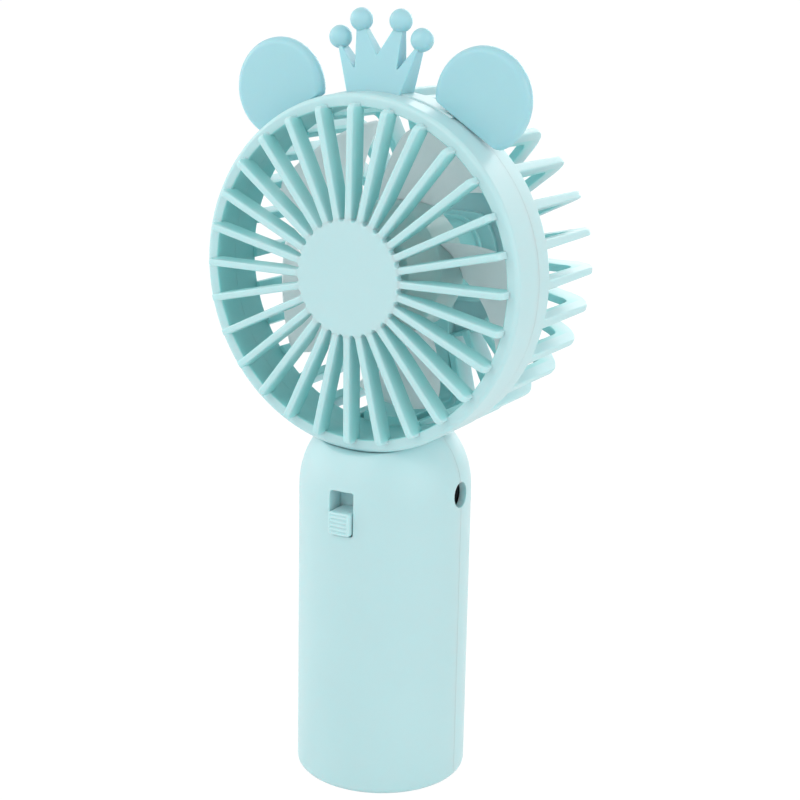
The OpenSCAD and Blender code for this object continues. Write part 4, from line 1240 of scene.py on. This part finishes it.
@dataclass(frozen=True)
class ShellSkin:
    """One skin of a handle shell, outer or inner: base, side, dome, and the saddle under the head.

    The rows of its side meet every height in z_breaks, so that openings find their borders.
    """

    side: int
    radius: float
    base_z: float
    base_round: float
    dome_z: float
    saddle_r: float
    edge: float
    z_breaks: tuple[float, ...]
    split: float = 0.02
    blend: float = 0.6
    neck_r: float = 4.5

    def radius_at(self, z: Array) -> Array:
        """Radius of the skin at a height on the side or the dome."""
        return np.sqrt(self.radius**2 - np.clip(z - self.dome_z, 0, None) ** 2)

    def bowl_z(self, x: Array) -> Array:
        """Height of the saddle under the head at a distance to the side."""
        return FAN_AXIS_Z - np.sqrt(self.saddle_r**2 - x**2)

    def rim_angle(self, turn: Array) -> Array:
        """Elevation on the dome where it meets the saddle's cylinder, found by halving an interval 40 times.

        Args:
            turn: Angles round the handle in radians.

        Returns:
            The elevations in radians.
        """
        low, high = np.zeros_like(turn), np.full_like(turn, np.radians(85))
        for _ in range(40):
            mid = (low + high) / 2
            across = self.radius * np.cos(mid) * np.cos(turn)
            below = self.dome_z + self.radius * np.sin(mid) < self.bowl_z(across)
            low, high = np.where(below, mid, low), np.where(below, high, mid)
        return low

    def profile(self, turn: Array) -> tuple[Array, Array, Array, Array, Array]:
        """Radius, height and outward direction of the skin in rows from the base's middle to the neck.

        Args:
            turn: Angles round the handle, from +X over the shell's own side to -X, in radians.

        Returns:
            Radius, height, outward direction's radial and upward part, each rows by columns, and the
            heights of the rows of the side, which openings are found by.
        """
        ones = np.ones_like(turn)
        flat_r = self.radius - self.base_round
        curve = np.linspace(-np.pi / 2, 0, 8)[1:-1]
        side_z = between((self.base_z + self.base_round, *self.z_breaks), 2.2)
        side_r = self.radius_at(side_z)
        lift = np.clip(side_z - self.dome_z, 0, None) / self.radius
        first = math.asin(lift[-1])
        last = self.rim_angle(turn)
        share = np.sin(np.linspace(0, np.pi / 2, 13))[1:, None]
        up = first + (last - first) * share
        dome_r = self.radius * np.cos(up)
        draw = (np.linspace(0, 1, 12)[1:, None]) ** 1.7
        saddle_rad = dome_r[-1] + (self.neck_r - dome_r[-1]) * draw
        top_r = np.concatenate([dome_r, saddle_rad])
        ball_z = self.dome_z + np.sqrt(np.clip(self.radius**2 - top_r**2, 0, None))
        top_z = eased_least(ball_z, self.bowl_z(top_r * np.cos(turn)), self.blend**2)
        flat = np.linspace(0, flat_r, 8)
        none, full = np.zeros_like(flat), np.ones_like(flat)
        curve_z = self.base_z + self.base_round * (1 + np.sin(curve))
        lower = (
            np.concatenate([flat, flat_r + self.base_round * np.cos(curve), side_r]),
            np.concatenate([self.base_z * full, curve_z, side_z]),
            np.concatenate([none, np.cos(curve), np.sqrt(1 - lift**2)]),
            np.concatenate([-full, np.sin(curve), lift]),
        )
        out = np.concatenate([np.cos(up), 0 * saddle_rad])
        rise = np.concatenate([np.sin(up), 1 + 0 * saddle_rad])
        upper = top_r, top_z, out, rise
        rows = [np.concatenate([low[:, None] * ones, top]) for low, top in zip(lower, upper)]
        return (*rows, np.concatenate([np.full(len(flat) + len(curve), -1.0), side_z]))

    def grid(self, turn: Array) -> tuple[Array, Array]:
        """The skin's points, with its edge eased along the parting plane.

        Args:
            turn: Angles round the handle in radians.

        Returns:
            Rows by columns of points, and the heights that openings are found by.
        """
        radius, z, out, rise, marks = self.profile(turn)
        drop = edge_drop(radius * np.sin(turn), self.edge)
        z = z - rise * drop
        radius = np.clip(radius - out * drop, 0, None)
        y = self.side * (radius * np.sin(turn) + self.split)
        return np.stack([radius * np.cos(turn), y, z], -1), marks

    def in_plane(self, points: Array, opening: Opening) -> Array:
        """Points on the skin as (h, z) in an opening's plane.

        Args:
            points: The points in space.
            opening: The opening.

        Returns:
            The points (h, z).
        """
        h = points[:, 0] if opening.along_y else self.side * points[:, 1] - self.split
        return np.stack([h, points[:, 2]], -1)

    def on_skin(self, plane: Array, opening: Opening, drop: float = 0.0, fixed: float | None = None) -> Array:
        """Points of an opening's plane put on the skin, or at a place along the drill.

        Args:
            plane: Points (h, z).
            opening: The opening.
            drop: Distance below the skin along the drill.
            fixed: A place along the drill that is used instead of the skin.

        Returns:
            The points in space.
        """
        h, z = plane[..., 0], plane[..., 1]
        reach = np.sqrt(self.radius_at(z) ** 2 - h**2)
        if opening.along_y:
            away = reach - drop if fixed is None else np.full_like(h, fixed)
            return np.stack([h, self.side * (away + self.split), z], -1)
        out = reach - edge_drop(h, self.edge) - drop if fixed is None else np.full_like(h, fixed)
        return np.stack([out, self.side * (h + self.split), z], -1)


@dataclass(frozen=True)
class HandleShell:
    """One half of the handle: two skins, joined along the parting plane and round each opening.

    The first columns stand at the distances in edge_mm from the parting plane.
    """

    name: str
    node: str
    outer: ShellSkin
    inner: ShellSkin
    openings: tuple[Opening, ...]
    edge_mm: tuple[float, ...] = (0.0, 0.01, 0.03, 0.07, 0.2)

    def turns(self) -> Array:
        """Angles round the handle: close together at the parting edges, and meeting every opening's block.

        Returns:
            The angles in radians.
        """
        edge = np.degrees(np.array(self.edge_mm) / self.outer.radius)
        met = (t for opening in self.openings for t in opening.turns if t > 0)
        marks = sorted({edge[-1], 90.0, 180 - edge[-1], *met})
        return np.radians(np.concatenate([edge[:-1], between(marks, 3), 180 - edge[:-1][::-1]]))

    def block(self, opening: Opening, turn: Array, marks: Array) -> tuple[tuple[slice, slice], Array, Array]:
        """The part of the grid that an opening replaces.

        Args:
            opening: The opening.
            turn: Angles of the columns.
            marks: Heights of the rows.

        Returns:
            The block's rows and columns of quads, and the rows and columns of the points round it.
        """
        i0, i1 = (int(np.argmin(np.abs(marks - z))) for z in opening.rows)
        j0, j1 = (int(np.argmin(np.abs(turn - math.radians(t)))) for t in opening.turns)
        across, up = np.arange(j0, j1), np.arange(i0, i1)
        rows = np.concatenate([np.full(len(across), i0), up, np.full(len(across), i1)])
        columns = np.concatenate([across, np.full(len(up), j1), across[::-1] + 1])
        if j0 > 0:
            rows = np.concatenate([rows, up[::-1] + 1, [i0]])
            columns = np.concatenate([columns, np.full(len(up), j0), [j0]])
        else:
            rows, columns = np.append(rows, i1), np.append(columns, j0)
        return (slice(i0, i1), slice(j0, j1)), rows, columns

    def patch(self, skin: ShellSkin, opening: Opening, ring: Array) -> Array:
        """The skin between a block's border and the opening's outline, as rays towards the middle.

        Args:
            skin: The skin that it lies on.
            opening: The opening.
            ring: The border's points in space.

        Returns:
            Rows of points, from the border to the outline.
        """
        border = skin.in_plane(ring, opening)
        share = np.linspace(0, 1, 6)[1:, None, None]
        plane = border + share * (opening.outline(border, 0.0) - border)
        return np.concatenate([ring[None], skin.on_skin(plane, opening)])

    def build(self) -> bpy.types.Object:
        """Makes the shell as one closed skin.

        Returns:
            The new object.
        """
        turn = self.turns()
        form, sheets = Skin(), []
        for skin in (self.outer, self.inner):
            points, marks = skin.grid(turn)
            sheets.append((skin, points, marks, np.ones(np.subtract(points.shape[:2], 1), bool)))
        for opening in self.openings:
            patches = []
            for skin, points, marks, keep in sheets:
                quads, rows, columns = self.block(opening, turn, marks)
                keep[quads] = False
                patches.append(self.patch(skin, opening, points[rows, columns]))
            front, back = patches
            rays = self.outer.in_plane(front[0], opening)
            lip = [
                self.outer.on_skin(opening.outline(rays, inset), opening, drop, fixed)
                for inset, drop, fixed in opening.lip[1:]
            ]
            form.add(front).add(back).add(np.stack([front[-1], *lip, back[-1]]))
        for _, points, _, keep in sheets:
            form.add(points, keep)
        form.add(np.stack([points[-1] for _, points, _, _ in sheets]))
        return form.piece(self.name, Body.FAN, MINT_ABS, self.node)


@dataclass(frozen=True)
class Handle:
    """The two shells of the handle."""

    head: Head
    radius: float = 21.2
    wall: float = 1.9
    floor: float = 2.4
    base_round: float = 1.8
    inner_round: float = 0.6
    dome_z: float = 73.8
    saddle_gap: float = 0.15
    edge: float = 0.07
    slot_middle_z: float = 71.4
    slot_half: tuple[float, float] = (3.25, 5.4)
    slot_rows: tuple[float, float] = (62.5, 79.6)
    slot_turns: tuple[float, float] = (72, 108)
    slot_power: float = 16
    chimney_wall: float = 1.6
    chimney_y: float = 15.9
    jack_z: float = 74.2
    jack_r: float = 3.1
    jack_rows: tuple[float, float] = (69.0, 79.6)
    jack_turns: tuple[float, float] = (0, 15)
    jack_rim: float = 0.6
    jack_round: float = 0.12
    lip_round: float = 0.3
    screw_x: float = 14.3
    screw_z: tuple[float, ...] = (18.0, 50.0)
    screw_margin: float = 5.0
    screw_turns: tuple[float, float] = (20, 66)
    tower_r: float = 3.4
    head_bore: float = 2.6
    shank_bore: float = 1.3
    head_seat_y: float = 7.95

    def skins(self, side: int) -> tuple[ShellSkin, ShellSkin]:
        """The two skins of one shell.

        Args:
            side: -1 for the front shell, 1 for the rear one.

        Returns:
            The outer and the inner skin.
        """
        saddle = self.head.ring_r + self.saddle_gap
        openings = self.slot(), self.charging_hole(), *self.screw_pockets()
        breaks = tuple(sorted({z for opening in openings for z in opening.rows}))
        outer = ShellSkin(side, self.radius, 0.0, self.base_round, self.dome_z, saddle, self.edge, breaks)
        inner = replace(
            outer, radius=self.radius - self.wall, base_z=self.floor, base_round=self.inner_round,
            saddle_r=saddle + self.wall, edge=0.0,
        )
        return outer, inner

    def slot(self) -> Opening:
        """The switch slot, with a square chimney behind it.

        Returns:
            The opening.
        """
        wall = self.chimney_wall
        half = (self.slot_half[0] + wall, self.slot_half[1] + wall)
        lip = (*rounded_lip(wall, self.lip_round), (wall, 0, self.chimney_y), (0, 0, self.chimney_y))
        middle = (0.0, self.slot_middle_z)
        return Opening(self.slot_rows, self.slot_turns, middle, half, self.slot_power, True, lip)

    def charging_hole(self) -> Opening:
        """One half of the charging hole, which the parting plane runs through.

        Returns:
            The opening.
        """
        size = self.jack_r + self.jack_rim
        lip = (*rounded_lip(self.jack_rim, self.jack_round), (self.jack_rim, self.wall, None))
        return Opening(self.jack_rows, self.jack_turns, (0.0, self.jack_z), (size, size), 2, False, lip)

    def screw_pockets(self) -> list[Opening]:
        """The deep round pockets of the four screws in the rear shell.

        Returns:
            One opening for each screw.
        """
        bore = self.tower_r - self.head_bore
        shank = self.tower_r - self.shank_bore
        seat_y = self.head_seat_y
        steps = (bore, 0, seat_y), (shank, 0, seat_y), (shank, 0, 0.0), (0, 0, 0.0)
        lip = (*rounded_lip(bore, self.lip_round), *steps)
        size = (self.tower_r, self.tower_r)
        first, last = self.screw_turns
        spans = {1: (first, last), -1: (180 - last, 180 - first)}
        margin = self.screw_margin
        return [
            Opening((z - margin, z + margin), spans[side], (side * self.screw_x, z), size, 2, True, lip)
            for side in (1, -1)
            for z in self.screw_z
        ]

    def build(self) -> None:
        """Makes both shells."""
        hole = self.charging_hole()
        HandleShell("front_shell", "handle_front_shell", *self.skins(-1), (self.slot(), hole)).build()
        HandleShell("rear_shell", "handle_rear_shell", *self.skins(1), (hole, *self.screw_pockets())).build()


@dataclass(frozen=True)
class SwitchButton:
    """The ribbed thumb block of the slide switch, on the plate that closes its slot."""

    thumb_z: tuple[float, float] = (66.25, 71.95)
    thumb_half: float = 2.95
    front_y: float = -22.3
    plate_y: tuple[float, float] = (-15.7, -14.7)
    plate_z: tuple[float, float] = (61.6, 77.2)
    plate_half: float = 4.4
    edge: float = 0.5
    grooves: int = 5
    pitch: float = 1.0
    groove_depth: float = 0.28
    groove_half: float = 2.3
    groove_fade: float = 0.25
    corner_power: int = 9
    plate_power: float = 0.12

    def thumb(self) -> Skin:
        """The thumb block: a face with cross grooves, rounded at its rim, and straight sides.

        A square grid is drawn in to a superellipse, the rim drops in a quarter round, and the grooves are
        a raised cosine of the height that fades out near the sides.

        Returns:
            The block's skin.
        """
        across = np.linspace(-1, 1, 45)
        across = np.sign(across) * (1 - (1 - np.abs(across)) ** 1.5)
        b, a = np.meshgrid(np.linspace(-1, 1, 121), across, indexing="ij")
        largest = np.maximum(np.abs(a), np.abs(b))
        power = self.corner_power
        shrink = largest / np.maximum((np.abs(a) ** power + np.abs(b) ** power) ** (1 / power), 1e-6)
        half_z = (self.thumb_z[1] - self.thumb_z[0]) / 2
        x, up = a * shrink * self.thumb_half, b * shrink * half_z
        inset = np.minimum((1 - np.abs(a)) * self.thumb_half, (1 - np.abs(b)) * half_z)
        inside = np.abs(up) < self.grooves * self.pitch / 2
        fade = np.clip((self.groove_half - np.abs(x)) / self.groove_fade, 0, 1)
        wave = 0.5 - 0.5 * np.cos(2 * np.pi * (up / self.pitch + self.grooves / 2))
        y = self.front_y + edge_drop(inset, self.edge) + self.groove_depth * inside * fade * wave
        face = np.stack([x, y, up + sum(self.thumb_z) / 2], -1)
        rim = np.concatenate([face[0, :-1], face[:-1, -1], face[-1, :0:-1], face[:0:-1, 0], face[:1, 0]])
        foot = rim.copy()
        foot[:, 1] = self.plate_y[0] + 0.3
        return Skin().add(face).add(np.stack([rim, foot]))

    def plate(self) -> Skin:
        """The thin plate behind the slot, a box with eased edges.

        Returns:
            The plate's skin.
        """
        a, b = np.linspace(-np.pi / 2, np.pi / 2, 25)[:, None], np.linspace(-np.pi, np.pi, 49)
        waves = np.cos(a), np.sin(a), np.cos(b), np.sin(b)
        cos_a, sin_a, cos_b, sin_b = (np.sign(wave) * np.abs(wave) ** self.plate_power for wave in waves)
        half_z, half_y = np.diff(self.plate_z)[0] / 2, np.diff(self.plate_y)[0] / 2
        points = np.stack([
            self.plate_half * cos_a * cos_b,
            sum(self.plate_y) / 2 + half_y * sin_a + 0 * b,
            sum(self.plate_z) / 2 + half_z * cos_a * sin_b,
        ], -1)
        return Skin().add(points)

    def build(self) -> None:
        """Makes the button's pieces."""
        self.thumb().piece("switch_thumb", Body.SWITCH, MINT_ABS, "switch_button")
        self.plate().piece("switch_plate", Body.SWITCH, MINT_ABS, "switch_button")


@dataclass(frozen=True)
class Viewpoint:
    """The camera: where it looks from, in degrees and millimetres."""

    azimuth: float = 29.32
    elevation: float = 14.15
    distance: float = 417.79
    roll: float = 1.134
    lens: float = 77.086
    target_z: float = 94.912
    target_right: float = 3.218

    def place(self) -> None:
        """Makes the camera and puts it in place."""
        a, e, r = np.radians([self.azimuth, self.elevation, self.roll])
        back = np.array([np.sin(a) * np.cos(e), -np.cos(a) * np.cos(e), np.sin(e)])
        right = np.array([np.cos(a), np.sin(a), 0.0])
        up = np.cross(back, right)
        eye = np.array([0, 0, self.target_z]) + right * self.target_right + back * self.distance
        turned_right = np.cos(r) * right + np.sin(r) * up
        turned_up = np.cos(r) * up - np.sin(r) * right
        lens = bpy.data.cameras.new("photo_view")
        lens.lens, lens.sensor_width = self.lens, 36.0
        lens.clip_start, lens.clip_end = 0.01, 100.0
        camera = in_scene("photo_view", lens)
        camera.matrix_world = Matrix([
            (turned_right[i], turned_up[i], back[i], eye[i] * MM) for i in range(3)
        ] + [(0, 0, 0, 1)])
        bpy.context.scene.camera = camera


@dataclass(frozen=True)
class Lamp:
    """A soft square lamp aimed at the middle of the fan, in metres, which the camera doesn't see."""

    name: str
    place: tuple[float, float, float]
    size: float
    watts: float
    aim: tuple[float, float, float] = (0.0, 0.0, 0.1)

    def hang(self) -> None:
        """Makes the lamp and turns it to the fan."""
        light = bpy.data.lights.new(self.name, "AREA")
        light.size, light.energy = self.size, self.watts
        lamp = in_scene(self.name, light)
        lamp.location = self.place
        way = Vector(self.aim) - Vector(self.place)
        lamp.rotation_euler = way.to_track_quat("-Z", "Y").to_euler()
        lamp.visible_camera = False


@dataclass(frozen=True)
class Studio:
    """A plain white floor, a white surround and soft lamps."""

    surround: float = 0.63
    seen: float = 1.05
    floor_white: float = 0.92
    floor_half: float = 15.0
    lamps: tuple[Lamp, ...] = (
        Lamp("key", (-0.35, -1.1, 0.95), 0.9, 4.8),
        Lamp("left", (-1.2, -0.3, 0.5), 1.0, 4.0),
        Lamp("right", (1.2, -0.3, 0.4), 1.0, 4.5),
        Lamp("back", (-0.1, 1.2, 0.5), 0.9, 7.0),
    )

    def shown(self, tree: Tree, share: float) -> Socket:
        """A factor that is a given share on rays that show the backdrop: camera, glossy and transmission.

        Args:
            tree: The node tree.
            share: The factor on those rays.

        Returns:
            The factor's output.
        """
        ray = add_node(tree, "LightPath").outputs
        seen = ray["Is Camera Ray"]
        for kind in ("Is Glossy Ray", "Is Transmission Ray"):
            seen = add_node(tree, "Math", {0: seen, 1: ray[kind]}, operation="MAXIMUM").outputs[0]
        return add_node(tree, "Math", {0: seen, 1: share}, operation="MULTIPLY").outputs[0]

    def floor(self) -> None:
        """A matt white sweep of floor that keeps the fan's shadow."""
        half = self.floor_half
        mesh = bpy.data.meshes.new("floor")
        corners = [(-half, -half, 0), (half, -half, 0), (half, half, 0), (-half, half, 0)]
        mesh.from_pydata(corners, [], [(0, 1, 2, 3)])
        paper = bpy.data.materials.new("white_paper_sweep")
        tree = emptied(paper)
        matt = add_node(tree, "BsdfDiffuse", {"Color": linear("#FAFAFA")}).outputs[0]
        glow = add_node(tree, "Emission", {"Color": (1, 1, 1, 1), "Strength": self.seen}).outputs[0]
        white = self.shown(tree, self.floor_white)
        both = add_node(tree, "MixShader", {0: white, 1: matt, 2: glow}).outputs[0]
        add_node(tree, "OutputMaterial", {"Surface": both})
        mesh.materials.append(paper)
        in_scene("floor", mesh)

    def light(self) -> None:
        """The surround, white where it is seen and dimmer where it lights the fan, and the lamps."""
        world = bpy.data.worlds.new("white_surround")
        tree = emptied(world)
        ends = {3: self.surround, 4: self.seen}
        strength = add_node(tree, "MapRange", {"Value": self.shown(tree, 1.0), **ends}).outputs[0]
        glow = add_node(tree, "Background", {"Color": (1, 1, 1, 1), "Strength": strength}).outputs[0]
        add_node(tree, "OutputWorld", {"Surface": glow})
        bpy.context.scene.world = world
        for lamp in self.lamps:
            lamp.hang()

    def build(self) -> None:
        """Makes the floor and the light, and sets a plain view of colours."""
        self.floor()
        self.light()
        bpy.context.scene.view_settings.view_transform = "Standard"


def dress_carried() -> None:
    """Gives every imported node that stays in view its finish."""
    for name, finish in CARRIED_NODES.items():
        node = frame["nodes"][name]
        node.data.materials.clear()
        node.data.materials.append(finish.material())
        LOG.info("%s: packed node in %s", name, finish.name)


def main() -> None:
    """Builds the camera, the studio and every piece of the fan, in order."""
    Viewpoint().place()
    Studio().build()
    head = Head.from_frame()
    assemblies = FrontGrille(head), RearCage(head), Topper(), Impeller(), Handle(head), SwitchButton()
    for assembly in assemblies:
        assembly.build()
    dress_carried()


if __name__ == "__main__":
    main()
